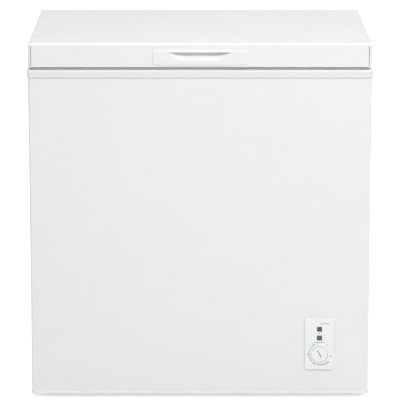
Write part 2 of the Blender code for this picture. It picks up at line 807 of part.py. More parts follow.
def rear_grille(root):
    y = (HALF_Y + GAP, HALF_Y + GAP + GRILLE_SHEET)
    x_low, x_high = bay_hole_x()
    z_low, z_high = bay_hole_z()
    outline = rounded_plate(x_low - 0.009, x_high + 0.009, z_low - 0.010, z_high + 0.010, 0.006)
    grille = place("rear_grille", prism(outline, *y, "Y"), GALVANISED, root)
    low = z_low + 0.075
    pitch = (z_high - 0.020 - low) / (GRILLE_SLOTS - 1)
    middle = (x_low + x_high) / 2
    half = (x_high - x_low) / 2 - 0.018
    through = (HALF_Y - 0.005, HALF_Y + 0.01)
    slots = []
    for row in range(GRILLE_SLOTS):
        z = low + row * pitch
        tall = (z - GRILLE_SLOT / 2, z + GRILLE_SLOT / 2)
        slots.append(((middle - half, middle - GRILLE_BRIDGE / 2), through, tall))
        slots.append(((middle + GRILLE_BRIDGE / 2, middle + half), through, tall))
    cut(grille, tool("grille_slots", boxes(slots), root))
    inlet = (x_low + 0.030, z_low + 0.030)
    hole = turned([(0.0088, HALF_Y - 0.005), (0.0088, HALF_Y + 0.01)], inlet, "Y", 16)
    cut(grille, tool("grille_inlet_hole", hole, root))
    ring = (
        (0.0125, y[0] - GAP - 0.004), (0.0125, y[0] - GAP), (0.0085, y[0] - GAP), (0.0085, y[1] + GAP),
        (0.0125, y[1] + GAP), (0.0110, y[1] + 0.006), (0.0045, y[1] + 0.006), (0.0045, y[0] - GAP - 0.004),
    )
    place("cord_inlet_grommet", turned(ring, inlet, "Y", 16, closed=True), BLACK_RUBBER, root)


# ---------------------------------------------------------------- drain
def drain_route():
    bend = 0.022
    corner = [
        (
            DRAIN_X - bend + bend * math.cos(math.radians(a)),
            DRAIN_Y,
            DRAIN_OUT_Z + bend - bend * math.sin(math.radians(a)),
        )
        for a in range(0, 91, 15)
    ]
    top = (DRAIN_X, DRAIN_Y, TUB_FLOOR - LINER_SHEET - GAP)
    mouth = (-HALF_X + SHEET + 2 * GAP, DRAIN_Y, DRAIN_OUT_Z)
    return [top, *corner, mouth]


def drain(root):
    route = drain_route()
    tube = place("drain_tube", pipe(route, DRAIN_RADIUS, 12), WHITE_PLASTIC, root)
    longer = stretched(route, 0.010)
    cut(tube, tool("drain_bore", pipe(longer, DRAIN_BORE, 12), root))
    channel = tool("drain_channel", pipe(longer, DRAIN_RADIUS + GAP, 12), root)

    lift = empty("drain_plug_axis", (DRAIN_X, DRAIN_Y, TUB_FLOOR), root)
    z = TUB_FLOOR + GAP
    plug = (
        (0.0065, TUB_FLOOR - 0.012), (0.0075, TUB_FLOOR - 0.008), (0.0078, z), (0.0160, z),
        (0.0155, z + 0.004), (0.0060, z + 0.006), (0.0060, z + 0.012), (0.0085, z + 0.015),
        (0.0080, z + 0.018),
    )
    place("drain_plug", turned(plug, (DRAIN_X, DRAIN_Y), "Z"), FRAME_PLASTIC, lift)

    pull = empty("drain_cap_axis", (-HALF_X, DRAIN_Y, DRAIN_OUT_Z), root)
    x = -HALF_X - GAP
    cap = (
        (0.0140, x - 0.0018), (0.0155, x - 0.0010), (0.0155, x), (0.0078, x), (0.0072, x + 0.012),
        (0.0066, x + 0.014),
    )
    place("drain_cap", turned(cap, (DRAIN_Y, DRAIN_OUT_Z), "X"), WHITE_PLASTIC, pull)
    return channel


# ---------------------------------------------------------------- controls
def controls(root):
    low_x, high_x = PANEL_X - PANEL_WIDTH / 2, PANEL_X + PANEL_WIDTH / 2
    low_z, high_z = PANEL_ABOVE - PANEL_HEIGHT / 2, PANEL_ABOVE + PANEL_HEIGHT / 2
    outline = rounded_plate(low_x, high_x, low_z, high_z, PANEL_RADIUS)
    bezel = place("control_panel", prism(outline, PANEL_FACE, -HALF_Y - GAP, "Y"), PANEL_PLASTIC, root)
    block = box(
        (low_x + 0.0085, high_x - 0.0085),
        (PANEL_FACE + 0.001, -HALF_Y + 0.006),
        (low_z + 0.0125, high_z - 0.0125),
    )
    join(bezel, tool("panel_block", block, root))
    centre = (PANEL_X, DIAL_Z)
    ring_face = PANEL_FACE - RING_PROUD
    ring = (
        (RING_RADIUS, PANEL_FACE + 0.001),
        (RING_RADIUS, ring_face + 0.0006),
        (RING_RADIUS - 0.0006, ring_face),
    )
    join(bezel, tool("dial_ring", turned(ring, centre, "Y", 32), root))
    back = DIAL_FACE + DIAL_DEPTH
    room = DIAL_RADIUS + DIAL_ROOM
    well = turned([(room, ring_face - 0.01), (room, back + GAP)], centre, "Y", 32)
    loose = SHAFT_RADIUS + GAP
    bore = turned([(loose, PANEL_FACE - 0.01), (loose, -HALF_Y + 0.01)], centre, "Y", 12)
    cut(bezel, tool("dial_well", well, root), tool("shaft_bore", bore, root))
    half = LAMP_SIDE / 2
    for name, above in zip(("indicator_lamp_upper", "indicator_lamp_lower"), LAMP_ABOVE):
        z = PANEL_ABOVE + above
        hole = box(
            (PANEL_X - half - GAP, PANEL_X + half + GAP),
            (PANEL_FACE - 0.01, -HALF_Y + 0.01),
            (z - half - GAP, z + half + GAP),
        )
        cut(bezel, tool(f"{name}_hole", hole, root))
        lamp = box(
            (PANEL_X - half, PANEL_X + half),
            (PANEL_FACE - 0.0005, -HALF_Y + 0.016),
            (z - half, z + half),
        )
        place(name, lamp, GREEN_LENS, root)

    axis = empty("thermostat_axis", (PANEL_X, PANEL_FACE, DIAL_Z), root)
    disc = ((DIAL_RADIUS, back), (DIAL_RADIUS, DIAL_FACE + 0.0006), (DIAL_RADIUS - 0.0006, DIAL_FACE))
    knob = place("thermostat_knob", turned(disc, centre, "Y", 32), PANEL_PLASTIC, axis)
    slot = []
    for across, along in rectangle(-SLOT_WIDTH / 2, SLOT_WIDTH / 2, -SLOT_LENGTH / 2, SLOT_LENGTH / 2):
        x = across * math.cos(SLOT_TURN) - along * math.sin(SLOT_TURN)
        z = across * math.sin(SLOT_TURN) + along * math.cos(SLOT_TURN)
        slot.append((PANEL_X + x, DIAL_Z + z))
    tip = DIAL_FACE + SLOT_DEPTH + 0.001
    socket = turned([(SHAFT_RADIUS + GAP, tip), (SHAFT_RADIUS + GAP, back + 0.01)], centre, "Y", 12)
    cut(
        knob,
        tool("dial_slot", prism(slot, DIAL_FACE - 0.001, DIAL_FACE + SLOT_DEPTH, "Y"), axis),
        tool("dial_socket", socket, axis),
    )
    body_front = -HALF_Y + 0.006 + GAP
    shaft_end = body_front + 0.008
    shaft = turned([(SHAFT_RADIUS, tip + GAP), (SHAFT_RADIUS, shaft_end)], centre, "Y", 12)
    place("thermostat_shaft", shaft, ZINC, axis)

    body = place(
        "thermostat_body",
        box(
            (PANEL_X - 0.020, PANEL_X + 0.020),
            (body_front, body_front + 0.028),
            (DIAL_Z - 0.022, DIAL_Z + 0.022),
        ),
        BLACK_PLASTIC,
        root,
    )
    bush = turned([(loose, body_front - 0.01), (loose, shaft_end + GAP)], centre, "Y", 12)
    cut(body, tool("thermostat_bush", bush, root))
    return body_front + 0.028


def wiring(root, back_y, relay_x, low):
    start = Vector((PANEL_X, back_y + 3 * GAP, DIAL_Z))
    loom = smooth([
        start,
        start + Vector((0, 0.012, 0)),
        start + Vector((0, 0.026, 0)),
        start + Vector((-0.060, 0.060, -0.030)),
        (relay_x - 0.013, COMPRESSOR_Y - 0.080, low + 0.038),
        (relay_x - 0.013, COMPRESSOR_Y - 0.046, low + 0.040),
        (relay_x - 0.013, COMPRESSOR_Y - 0.030 - 3 * GAP, low + 0.040),
    ])
    place("wiring_loom", pipe(loom, 0.004), BLACK_PLASTIC, root)


# ---------------------------------------------------------------- lid
def lid(axis):
    t = LID_SHEET
    edge_arc = [
        rounded(
            LID_X - LID_EDGE * (1 - math.cos(a)),
            LID_Y - LID_EDGE * (1 - math.cos(a)),
            LID_RADIUS,
            LID_TOP - LID_EDGE * (1 - math.sin(a)),
        )
        for a in (math.radians(d) for d in (0, 30, 60, 90))
    ]
    skin = place(
        "lid_skin",
        loft([
            rounded(LID_X - LID_EDGE, LID_Y - LID_EDGE, LID_RADIUS, LID_TOP - t),
            rounded(LID_X - t, LID_Y - t, LID_RADIUS - t, LID_TOP - LID_EDGE),
            rounded(LID_X - t, LID_Y - t, LID_RADIUS - t, LID_BOTTOM + t),
            rounded(LID_X - LID_LIP, LID_Y - LID_LIP, LID_RADIUS, LID_BOTTOM + t),
            rounded(LID_X - LID_LIP, LID_Y - LID_LIP, LID_RADIUS, LID_BOTTOM),
            rounded(LID_X - 0.001, LID_Y - 0.001, LID_RADIUS, LID_BOTTOM),
            rounded(LID_X, LID_Y, LID_RADIUS, LID_BOTTOM + 0.001),
            *edge_arc,
        ]),
        WHITE_STEEL,
        axis,
    )

    plug_x = LID_X - PLUG_INSET
    plug_y = LID_Y - PLUG_INSET
    plug_z = LID_BOTTOM - PLUG_DROP
    panel_z = LID_BOTTOM + t + GAP
    rim_x, rim_y = LID_X - t - 0.0005, LID_Y - t - 0.0005
    track_x, track_y = LID_X - LID_LIP - 0.001, LID_Y - LID_LIP - 0.001
    place(
        "lid_inner_panel",
        loft([
            rounded(plug_x - PLUG_SLOPE, plug_y - PLUG_SLOPE, 0.020, plug_z),
            rounded(plug_x, plug_y, 0.030, LID_BOTTOM + 0.0005),
            rounded(track_x, track_y, LID_RADIUS, LID_BOTTOM + 0.0005),
            rounded(track_x, track_y, LID_RADIUS, panel_z),
            rounded(rim_x, rim_y, LID_RADIUS - t, panel_z),
            rounded(rim_x, rim_y, LID_RADIUS - t, panel_z + INNER_PANEL),
            rounded(plug_x - 0.001, plug_y - 0.001, 0.030, panel_z + INNER_PANEL),
            rounded(plug_x - PLUG_SLOPE - 0.001, plug_y - PLUG_SLOPE - 0.001, 0.020, plug_z + INNER_PANEL),
        ]),
        FRAME_PLASTIC,
        axis,
    )
    fill_z = panel_z + INNER_PANEL + GAP
    fill_top = LID_TOP - t - GAP
    foam = place(
        "lid_foam",
        loft([
            rounded(
                plug_x - PLUG_SLOPE - 0.002, plug_y - PLUG_SLOPE - 0.002, 0.020,
                plug_z + INNER_PANEL + GAP,
            ),
            rounded(plug_x - 0.002, plug_y - 0.002, 0.030, fill_z),
            rounded(rim_x, rim_y, LID_RADIUS - t, fill_z),
            rounded(rim_x, rim_y, LID_RADIUS - t, LID_TOP - LID_EDGE - 0.001),
            rounded(LID_X - LID_EDGE - 0.002, LID_Y - LID_EDGE - 0.002, LID_RADIUS, fill_top),
        ]),
        FOAM,
        axis,
    )
    inset, width = GASKET_INSET, GASKET_WIDTH
    low, high = FRAME_TOP + GAP, LID_BOTTOM - GAP
    place(
        "lid_gasket",
        loft(
            [
                rounded(LID_X - inset, LID_Y - inset, 0.008, low),
                rounded(LID_X - inset, LID_Y - inset, 0.008, high),
                rounded(LID_X - inset - width, LID_Y - inset - width, 0.008, high),
                rounded(LID_X - inset - width, LID_Y - inset - width, 0.008, low),
            ],
            closed=True,
        ),
        GREY_RUBBER,
        axis,
    )
    handle(axis, skin, foam)


def handle(axis, skin, foam):
    """A plate let into the lid's front with a finger pocket that is deepest under its upper lip."""
    top = LID_TOP - GRIP_DROP
    bottom = top - GRIP_HEIGHT
    half = GRIP_WIDTH / 2
    outline = [
        (-half, top),
        (-half, bottom + GRIP_CHAMFER * 0.4),
        (-half + GRIP_CHAMFER, bottom),
        (half - GRIP_CHAMFER, bottom),
        (half, bottom + GRIP_CHAMFER * 0.4),
        (half, top),
    ]
    plate_back = -LID_Y - GAP
    plate = place("lid_handle", prism(outline, GRIP_FACE, plate_back, "Y"), WHITE_PLASTIC, axis)
    pocket_top = top - POCKET_BELOW
    pocket_bottom = pocket_top - POCKET_HEIGHT
    block_x = POCKET_TOP_WIDTH / 2 + POCKET_WALL
    block_z = (pocket_bottom - POCKET_WALL, pocket_top + POCKET_WALL)
    block_back = GRIP_FACE + POCKET_DEPTH + POCKET_WALL
    block = box((-block_x, block_x), (GRIP_FACE + 0.0008, block_back), block_z)
    join(plate, tool("handle_block", block, axis))
    top_half, bottom_half = POCKET_TOP_WIDTH / 2, POCKET_BOTTOM_WIDTH / 2
    scoop = POCKET_HEIGHT * 0.55
    stages = (
        (GRIP_FACE - 0.001, 0.0, 0.0),
        (GRIP_FACE + 0.001, 0.0, 0.0),
        (GRIP_FACE + POCKET_DEPTH * 0.6, 0.003, scoop * 0.35),
        (GRIP_FACE + POCKET_DEPTH, 0.006, scoop),
    )
    rings = []
    for y, narrow, rise in stages:
        rings.append([
            (-top_half + narrow, y, pocket_top),
            (top_half - narrow, y, pocket_top),
            (bottom_half - narrow, y, pocket_bottom + rise),
            (-bottom_half + narrow, y, pocket_bottom + rise),
        ])
    cut(plate, tool("handle_pocket", loft(rings), axis))
    room = box(
        (-block_x - GAP, block_x + GAP),
        (GRIP_FACE - 0.001, block_back + GAP),
        (block_z[0] - GAP, block_z[1] + GAP),
    )
    clearance = tool("handle_room", room, axis)
    cut(skin, clearance)
    cut(foam, clearance)


# ---------------------------------------------------------------- hinges
def ear_profile():
    """Side of the hinge box: a tall cheek rising to a round ear about the pin."""
    low = HINGE_TOP - HINGE_HEIGHT
    front = BACK_FACE + GAP
    neck = PIN_Y - EAR_RADIUS
    arc = [
        (PIN_Y + EAR_RADIUS * math.cos(math.radians(a)), PIN_Z + EAR_RADIUS * math.sin(math.radians(a)))
        for a in range(180, -1, -30)
    ]
    shoulder = [(front, low), (front, HINGE_TOP - 0.006), (neck, HINGE_TOP)]
    return [*shoulder, *arc, (HINGE_BACK, PIN_Z - 0.002), (HINGE_BACK, low)]


def hinge(side, x, root, axis):
    cavity_x = HINGE_WIDTH / 2 - HINGE_SHEET
    low = HINGE_TOP - HINGE_HEIGHT
    front = BACK_FACE + GAP
    base = place(
        f"hinge_base_{side}",
        prism(ear_profile(), x - HINGE_WIDTH / 2, x + HINGE_WIDTH / 2, "X"),
        ZINC,
        root,
    )
    flange_x = HINGE_WIDTH / 2 + HINGE_FLANGE
    flange = box(
        (x - flange_x, x + flange_x),
        (front, front + HINGE_SHEET),
        (low + 0.010, HINGE_TOP - 0.010),
    )
    join(base, tool(f"hinge_flange_{side}", flange, root))
    well = box(
        (x - cavity_x, x + cavity_x),
        (front + HINGE_SHEET, HINGE_BACK - HINGE_SHEET),
        (low + HINGE_SHEET, PIN_Z + 0.02),
    )
    mouth = box(
        (x - cavity_x, x + cavity_x),
        (front - 0.01, HINGE_BACK + 0.01),
        (HINGE_TOP - 0.0065, PIN_Z + 0.02),
    )
    pin_hole = turned(
        [(PIN_RADIUS + GAP, x - 0.03), (PIN_RADIUS + GAP, x + 0.03)], (PIN_Y, PIN_Z), "X", 12
    )
    cut(
        base,
        tool(f"hinge_well_{side}", well, root),
        tool(f"hinge_mouth_{side}", mouth, root),
        tool(f"hinge_bore_{side}", pin_hole, root),
    )
    half = HINGE_WIDTH / 2
    pin = (
        (0.0042, x - half - GAP - 0.0015), (0.0042, x - half - GAP), (PIN_RADIUS, x - half - GAP),
        (PIN_RADIUS, x + half + GAP), (0.0036, x + half + GAP), (0.0036, x + half + GAP + 0.0012),
    )
    place(f"hinge_pin_{side}", turned(pin, (PIN_Y, PIN_Z), "X", 12), ZINC, root)

    leaf_low = LID_BOTTOM + LEAF_MARGIN
    plate_y = LID_Y + GAP
    leaf = place(
        f"hinge_leaf_{side}",
        box(
            (x - LEAF_WIDTH / 2, x + LEAF_WIDTH / 2),
            (plate_y, plate_y + HINGE_SHEET),
            (leaf_low, leaf_low + LEAF_HEIGHT),
        ),
        ZINC,
        axis,
    )
    arm_radius = 0.0058
    arc = [
        (PIN_Y + arm_radius * math.cos(math.radians(a)), PIN_Z + arm_radius * math.sin(math.radians(a)))
        for a in range(60, -61, -30)
    ]
    lever_y = PIN_Y - LEVER * math.sin(LEVER_ANGLE)
    lever_z = PIN_Z - LEVER * math.cos(LEVER_ANGLE)
    tip = [
        (
            lever_y + LEVER_RADIUS * math.cos(math.radians(a)),
            lever_z + LEVER_RADIUS * math.sin(math.radians(a)),
        )
        for a in range(-55, -236, -45)
    ]
    side_view = [
        (plate_y + 0.0008, leaf_low + 0.018), *arc, *tip,
        (plate_y + 0.0030, PIN_Z + 0.002), (plate_y + 0.0008, leaf_low),
    ]
    inner = cavity_x - 0.0005
    for hand, sign in (("a", -1), ("b", 1)):
        faces = sorted((x + sign * inner, x + sign * (inner - HINGE_SHEET)))
        join(leaf, tool(f"hinge_arm_{side}_{hand}", prism(side_view, *faces, "X"), axis))
    bar = turned(
        [(LEVER_RADIUS, x - inner + 0.0005), (LEVER_RADIUS, x + inner - 0.0005)],
        (lever_y, lever_z), "X", 12,
    )
    join(leaf, tool(f"hinge_bar_{side}", bar, axis))
    bore = turned([(PIN_RADIUS + GAP, x - 0.03), (PIN_RADIUS + GAP, x + 0.03)], (PIN_Y, PIN_Z), "X", 12)
    cut(leaf, tool(f"hinge_leaf_bore_{side}", bore, axis))

    slider_half = inner - HINGE_SHEET - 0.0010
    slider_top = lever_z - LEVER_RADIUS - 2 * GAP
    slider_low = slider_top - SLIDER_HEIGHT
    slider_y = (PIN_Y - 0.0066, PIN_Y + 0.0062)
    travel = empty(f"hinge_slider_axis_{side}", (x, PIN_Y, slider_low), root)
    slider = box((x - slider_half, x + slider_half), slider_y, (slider_low, slider_top))
    place(f"hinge_slider_{side}", slider, BLACK_PLASTIC, travel)

    spring_low = low + HINGE_SHEET + SPRING_WIRE + GAP
    spring_high = slider_low - SPRING_WIRE - GAP
    per_turn = 6
    count = SPRING_TURNS * per_turn
    coil = [
        (
            x + SPRING_RADIUS * math.cos(math.tau * i / per_turn),
            PIN_Y + SPRING_RADIUS * math.sin(math.tau * i / per_turn) * 0.9,
            spring_low + (spring_high - spring_low) * i / count,
        )
        for i in range(count + 1)
    ]
    place(f"hinge_spring_{side}", pipe(coil, SPRING_WIRE, 4), DARK_STEEL, root)


# ---------------------------------------------------------------- basket
def basket(root):
    """The basket's outer shape: an open-topped tub hung from the frame's ledge by two end rails."""
    axis = empty("basket_axis", (BASKET_X, 0, LEDGE_Z), root)
    half_x, half_y = BASKET_WIDTH / 2, BASKET_Y
    top = LEDGE_Z + GAP + BASKET_WALL
    low = top - BASKET_HEIGHT
    wall = BASKET_WALL
    rings = [
        rounded(half_x - 0.010, half_y - 0.010, 0.015, low),
        rounded(half_x, half_y, 0.018, top),
        rounded(half_x - wall, half_y - wall, 0.015, top),
        rounded(half_x - wall - 0.010, half_y - wall - 0.010, 0.012, low + wall),
    ]
    tray = place(
        "storage_basket",
        loft([[(x + BASKET_X, y, z) for x, y, z in ring] for ring in rings]),
        WHITE_WIRE,
        axis,
    )
    reach = FRAME_Y - FRAME_SEAT - 0.004
    for name, sign in (("front", -1), ("rear", 1)):
        y = sorted((sign * (half_y - 0.002), sign * reach))
        rail = box((BASKET_X - half_x + 0.020, BASKET_X + half_x - 0.020), y, (LEDGE_Z + GAP, top))
        join(tray, tool(f"basket_rail_{name}", rail, axis))


# ---------------------------------------------------------------- assembly
for leftover in list(bpy.data.objects):
    bpy.data.objects.remove(leftover, do_unlink=True)

WHITE_STEEL = finish("white_steel", (0.86, 0.86, 0.86), 0.35)
FRAME_PLASTIC = finish("frame_plastic", (0.82, 0.82, 0.82), 0.45)
WHITE_PLASTIC = finish("white_plastic", (0.86, 0.86, 0.86), 0.40)
PANEL_PLASTIC = finish("panel_plastic", (0.90, 0.90, 0.90), 0.35)
WHITE_WIRE = finish("white_wire", (0.85, 0.85, 0.85), 0.40)
ALUMINIUM = finish("aluminium", (0.80, 0.81, 0.82), 0.40, 1.0)
GALVANISED = finish("galvanised", (0.60, 0.61, 0.62), 0.50, 1.0)
ZINC = finish("zinc", (0.70, 0.70, 0.68), 0.35, 1.0)
DARK_STEEL = finish("dark_steel", (0.10, 0.10, 0.11), 0.50, 0.8)
BLACK_STEEL = finish("black_steel", (0.02, 0.02, 0.02), 0.40)
COPPER = finish("copper", (0.80, 0.42, 0.26), 0.35, 1.0)
FOAM = finish("foam", (0.85, 0.78, 0.58), 0.90)
GREY_RUBBER = finish("grey_rubber", (0.45, 0.45, 0.45), 0.70)
BLACK_RUBBER = finish("black_rubber", (0.03, 0.03, 0.03), 0.80)
BLACK_PLASTIC = finish("black_plastic", (0.03, 0.03, 0.03), 0.50)
GREEN_LENS = finish("green_lens", (0.02, 0.20, 0.06), 0.25)
HIDDEN = finish("hidden", (0.5, 0.5, 0.5), 0.5)

FREEZER = empty("freezer", (0, CENTRE_Y, 0))
LID_AXIS = empty("lid_axis", (0, PIN_Y, PIN_Z), FREEZER)

cabinet_shell(FREEZER)
CHANNELS = pipes_round_walls(FREEZER)
tub_and_foam(FREEZER, CHANNELS, drain(FREEZER))
top_frame(FREEZER)
feet(FREEZER)
SHELL_LOW, RELAY_X = machine_bay(FREEZER, CHANNELS)
pipework(FREEZER, SHELL_LOW)
rear_grille(FREEZER)
wiring(FREEZER, controls(FREEZER), RELAY_X, SHELL_LOW)
lid(LID_AXIS)
for SIDE, SIGN in (("left", -1), ("right", 1)):
    hinge(SIDE, SIGN * HINGE_X, FREEZER, LID_AXIS)
basket(FREEZER)
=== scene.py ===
"""Looks of a compact white chest freezer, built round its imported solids.

Metres, +Z up, front towards -Y, +X to the right as seen from the front. Fine shells and trims
replace the plain solids where they show; the rest keep their shape and get better finishes."""

import math

import bmesh
import bpy
from mathutils import Matrix, Vector


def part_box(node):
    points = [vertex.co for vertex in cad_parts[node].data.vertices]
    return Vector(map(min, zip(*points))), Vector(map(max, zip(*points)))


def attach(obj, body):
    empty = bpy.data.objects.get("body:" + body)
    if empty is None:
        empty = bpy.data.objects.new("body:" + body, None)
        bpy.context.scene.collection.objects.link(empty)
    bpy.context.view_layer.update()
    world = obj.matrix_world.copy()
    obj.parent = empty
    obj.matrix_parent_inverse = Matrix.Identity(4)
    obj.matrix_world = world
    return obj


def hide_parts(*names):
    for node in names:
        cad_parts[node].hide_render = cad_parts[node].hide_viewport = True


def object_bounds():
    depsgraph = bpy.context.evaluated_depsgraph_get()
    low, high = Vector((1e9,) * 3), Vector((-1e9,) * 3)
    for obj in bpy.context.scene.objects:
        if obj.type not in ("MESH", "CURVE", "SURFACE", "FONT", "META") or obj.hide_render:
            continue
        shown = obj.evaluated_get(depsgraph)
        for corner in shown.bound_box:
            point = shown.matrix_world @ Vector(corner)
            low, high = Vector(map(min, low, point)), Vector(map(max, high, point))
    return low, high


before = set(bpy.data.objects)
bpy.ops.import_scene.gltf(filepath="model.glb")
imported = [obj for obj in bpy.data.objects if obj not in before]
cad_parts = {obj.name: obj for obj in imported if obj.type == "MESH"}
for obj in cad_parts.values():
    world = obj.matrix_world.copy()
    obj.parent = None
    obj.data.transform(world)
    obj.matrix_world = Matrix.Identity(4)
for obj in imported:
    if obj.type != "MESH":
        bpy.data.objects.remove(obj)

CAD_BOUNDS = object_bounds()

# ---------------------------------------------------------------- places taken from the frame
WRAP_LOW, WRAP_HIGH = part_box("cabinet_wrap")
FRAME_LOW, FRAME_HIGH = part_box("top_frame")
LID_LOW, LID_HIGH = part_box("lid_skin")
LINER_LOW, LINER_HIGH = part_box("inner_liner")
INNER_LOW, INNER_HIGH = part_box("lid_inner_panel")
GASKET_LOW, GASKET_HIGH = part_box("lid_gasket")
HANDLE_LOW, HANDLE_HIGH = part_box("lid_handle")
PANEL_LOW, PANEL_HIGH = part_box("control_panel")
KNOB_LOW, KNOB_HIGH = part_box("thermostat_knob")
BASKET_LOW, BASKET_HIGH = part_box("storage_basket")
GRILLE_LOW, GRILLE_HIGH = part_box("rear_grille")
PLUG_LOW, PLUG_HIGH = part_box("drain_plug")
CAP_LOW, CAP_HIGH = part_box("drain_cap")

MID_Y = (WRAP_LOW.y + WRAP_HIGH.y) / 2          # middle of the cabinet, front to back
LID_HALF_X = LID_HIGH.x
LID_HALF_Y = (LID_HIGH.y - LID_LOW.y) / 2
DIAL_AT = ((KNOB_LOW.x + KNOB_HIGH.x) / 2, (KNOB_LOW.z + KNOB_HIGH.z) / 2)     # (x, z)
DIAL_RADIUS = (KNOB_HIGH.x - KNOB_LOW.x) / 2
GAP = 0.0003                                    # air between pieces that touch

# ---------------------------------------------------------------- sizes of the visible work
LID_SHEET = 0.0008
LID_EDGE = 0.005             # rounded top edge of the lid
LID_CORNER = 0.0045
LID_LIP = 0.010
GASKET_WIDTH = 0.014
GASKET_FLAP = 0.0045         # how far its front flap reaches out
FIELD_INSET = 0.100          # raised middle of the lid's inner panel
FIELD_SLOPE = 0.020
BORDER_OUT = 0.040           # stiffening border outside that middle
SEAM_WIDTH = 0.0028          # folded corner seam of the lid, with a grey strip in it that paints the seam's shade
SEAM_DEPTH = 0.0011
# width of the grey strip that paints the seam's shade
SEAM_SHADE_WIDTH = 0.0017

WRAP_CORNER = 0.005
LAMPS = ("indicator_lamp_upper", "indicator_lamp_lower")
RING_RADIUS = 0.0242         # raised ring round the dial
RING_PROUD = 0.0020
WELL_ROOM = 0.0007           # between the dial and its well
SHAFT_BORE = 0.0033
SLOT_HALF = 0.0105           # coin slot across the dial
SLOT_HALF_WIDTH = 0.0017
SLOT_DEPTH = 0.0018
SLOT_TURN = math.radians(31)
SCALE_RADIUS = 0.0249        # where the printed scale starts
PANEL_CORNER = 0.003
PANEL_EDGE = 0.0012
INK = 0.00006                # thickness of the panel's printing and of its painted shade marks

LEG = 0.0022                 # top frame's outer and inner legs
LEG_CORNER = 0.0053
FRAME_ROUND = 0.0046
SEAT_WIDTH = 0.050
LEDGE_DROP = 0.010
TUB_CORNER = 0.022
TUB_FLOOR_ROUND = 0.009
LINER_SHEET = 0.001
STEP_EDGE_X = 0.104          # where the tub's floor steps up
STEP_TOP_Z = 0.340

SCOOP_TOP_HALF = 0.076       # the handle's finger scoop
SCOOP_LOW_HALF = 0.050
SCOOP_UNDER_TOP = 0.0072
SCOOP_OVER_BOTTOM = 0.0092
SCOOP_DEPTH = 0.0145
SCOOP_WALL = 0.0018
GRIP_ROUND = 0.0009

BEAD_HALF = 0.008            # stiffening beads pressed into the back panel
BEAD_PROUD = 0.0032
BEAD_TURNS = [math.radians(a) for a in (3, 20, 40, 60, 80)]
BEAD_ROWS = ((0.345, 0.335), (0.465, 0.335), (0.585, 0.335), (0.705, 0.190))   # height, half length

WIRE = 0.0019                # basket wires, radius
THIN_WIRE = 0.0013
BASKET_TAPER = 0.010         # how much narrower the basket is at its bottom, on each side
BASKET_CORNER = 0.016        # room that the wires leave at its corners
BASKET_LONG_WIRES = 15
BASKET_CROSS_WIRES = 8

HINGE_SHEET = 0.0015
GRILLE_ROWS = 9
HOOD_PROUD = 0.0038          # louvres in front of the grille's plate
SHARP = 38                   # degrees from which an edge stays sharp

ARC_STEPS = 8
ROUND_SIDES = 64

DUST_COLOUR = (0.55, 0.53, 0.50, 1)


# ---------------------------------------------------------------- small tools for shapes
def share(value, low, high):
    """How far value is from low to high, kept between 0 and 1."""
    return min(max((value - low) / (high - low), 0.0), 1.0)


def eased(t):
    return t * t * (3 - 2 * t)


def across(low, high, axis):
    """A box's middle in the flat across an axis, as stood() takes it."""
    x, y, z = [(a + b) / 2 for a, b in zip(low, high)]
    return {"X": (y, z), "Y": (x, z), "Z": (x, y)}[axis]


def halves(low, high):
    """Half a box's size along X, Y and Z."""
    return [(b - a) / 2 for a, b in zip(low, high)]


def rotated(outline, turn):
    """A flat outline turned about its own origin."""
    return [(a * math.cos(turn) - b * math.sin(turn), a * math.sin(turn) + b * math.cos(turn))
            for a, b in outline]


def arc(centre, radius, start, end, steps=ARC_STEPS):
    """Points of an arc in a flat section, angles in degrees."""
    turns = [math.radians(start + (end - start) * i / steps) for i in range(steps + 1)]
    return [(centre[0] + radius * math.cos(t), centre[1] + radius * math.sin(t)) for t in turns]


def round_rectangle(half_a, half_b, radius, steps=ARC_STEPS):
    """A flat outline with round corners, anticlockwise about its middle."""
    outline = []
    for sign_a, sign_b, start in ((1, -1, -90), (1, 1, 0), (-1, 1, 90), (-1, -1, 180)):
        middle = (sign_a * (half_a - radius), sign_b * (half_b - radius))
        outline += arc(middle, radius, start, start + 90, steps)
    return outline


def stood(outline, along, axis, middle=(0.0, 0.0)):
    """A flat outline stood across an axis: (y, z) for X, (x, z) for Y and (x, y) for Z."""
    ring = []
    for a, b in outline:
        a, b = a + middle[0], b + middle[1]
        ring.append({"X": (along, a, b), "Y": (a, along, b), "Z": (a, b, along)}[axis])
    return ring


def level(half_x, half_y, radius, z, steps=ARC_STEPS):
    """A level ring with round corners about the cabinet's middle."""
    return stood(round_rectangle(half_x, half_y, radius, steps), z, "Z", (0.0, MID_Y))


def loft(rings, hoop=False, capped=True):
    """Skin through rings of equal length: capped at both ends, or closed into a hoop."""
    bm = bmesh.new()
    loops = [[bm.verts.new(point) for point in ring] for ring in rings]
    pairs = list(zip(loops, loops[1:]))
    if hoop:
        pairs.append((loops[-1], loops[0]))
    elif capped:
        bm.faces.new(loops[0])
        bm.faces.new(loops[-1])
    for low, high in pairs:
        for i in range(len(low)):
            j = (i + 1) % len(low)
            bm.faces.new((low[i], low[j], high[j], high[i]))
    bmesh.ops.recalc_face_normals(bm, faces=bm.faces)
    return bm


def prism(outline, low, high, axis, middle=(0.0, 0.0)):
    """A flat outline drawn out from one place along an axis to another."""
    return loft([stood(outline, low, axis, middle), stood(outline, high, axis, middle)])


def block(x, y, z):
    """A block from three (low, high) pairs."""
    return prism([(x[0], y[0]), (x[1], y[0]), (x[1], y[1]), (x[0], y[1])], *z, "Z")


def rod(radius, low, high, middle, axis, sides=24):
    """A straight round bar, mostly used to cut a bore."""
    return turned([(radius, low), (radius, high)], middle, axis, sides)


def turned(profile, middle, axis, sides=ROUND_SIDES, hoop=False):
    """A turned piece: (radius, place along the axis) pairs about a centre line."""
    rings = []
    for radius, along in profile:
        circle = [(radius * math.cos(math.tau * i / sides), radius * math.sin(math.tau * i / sides))
                  for i in range(sides)]
        rings.append(stood(circle, along, axis, middle))
    return loft(rings, hoop)


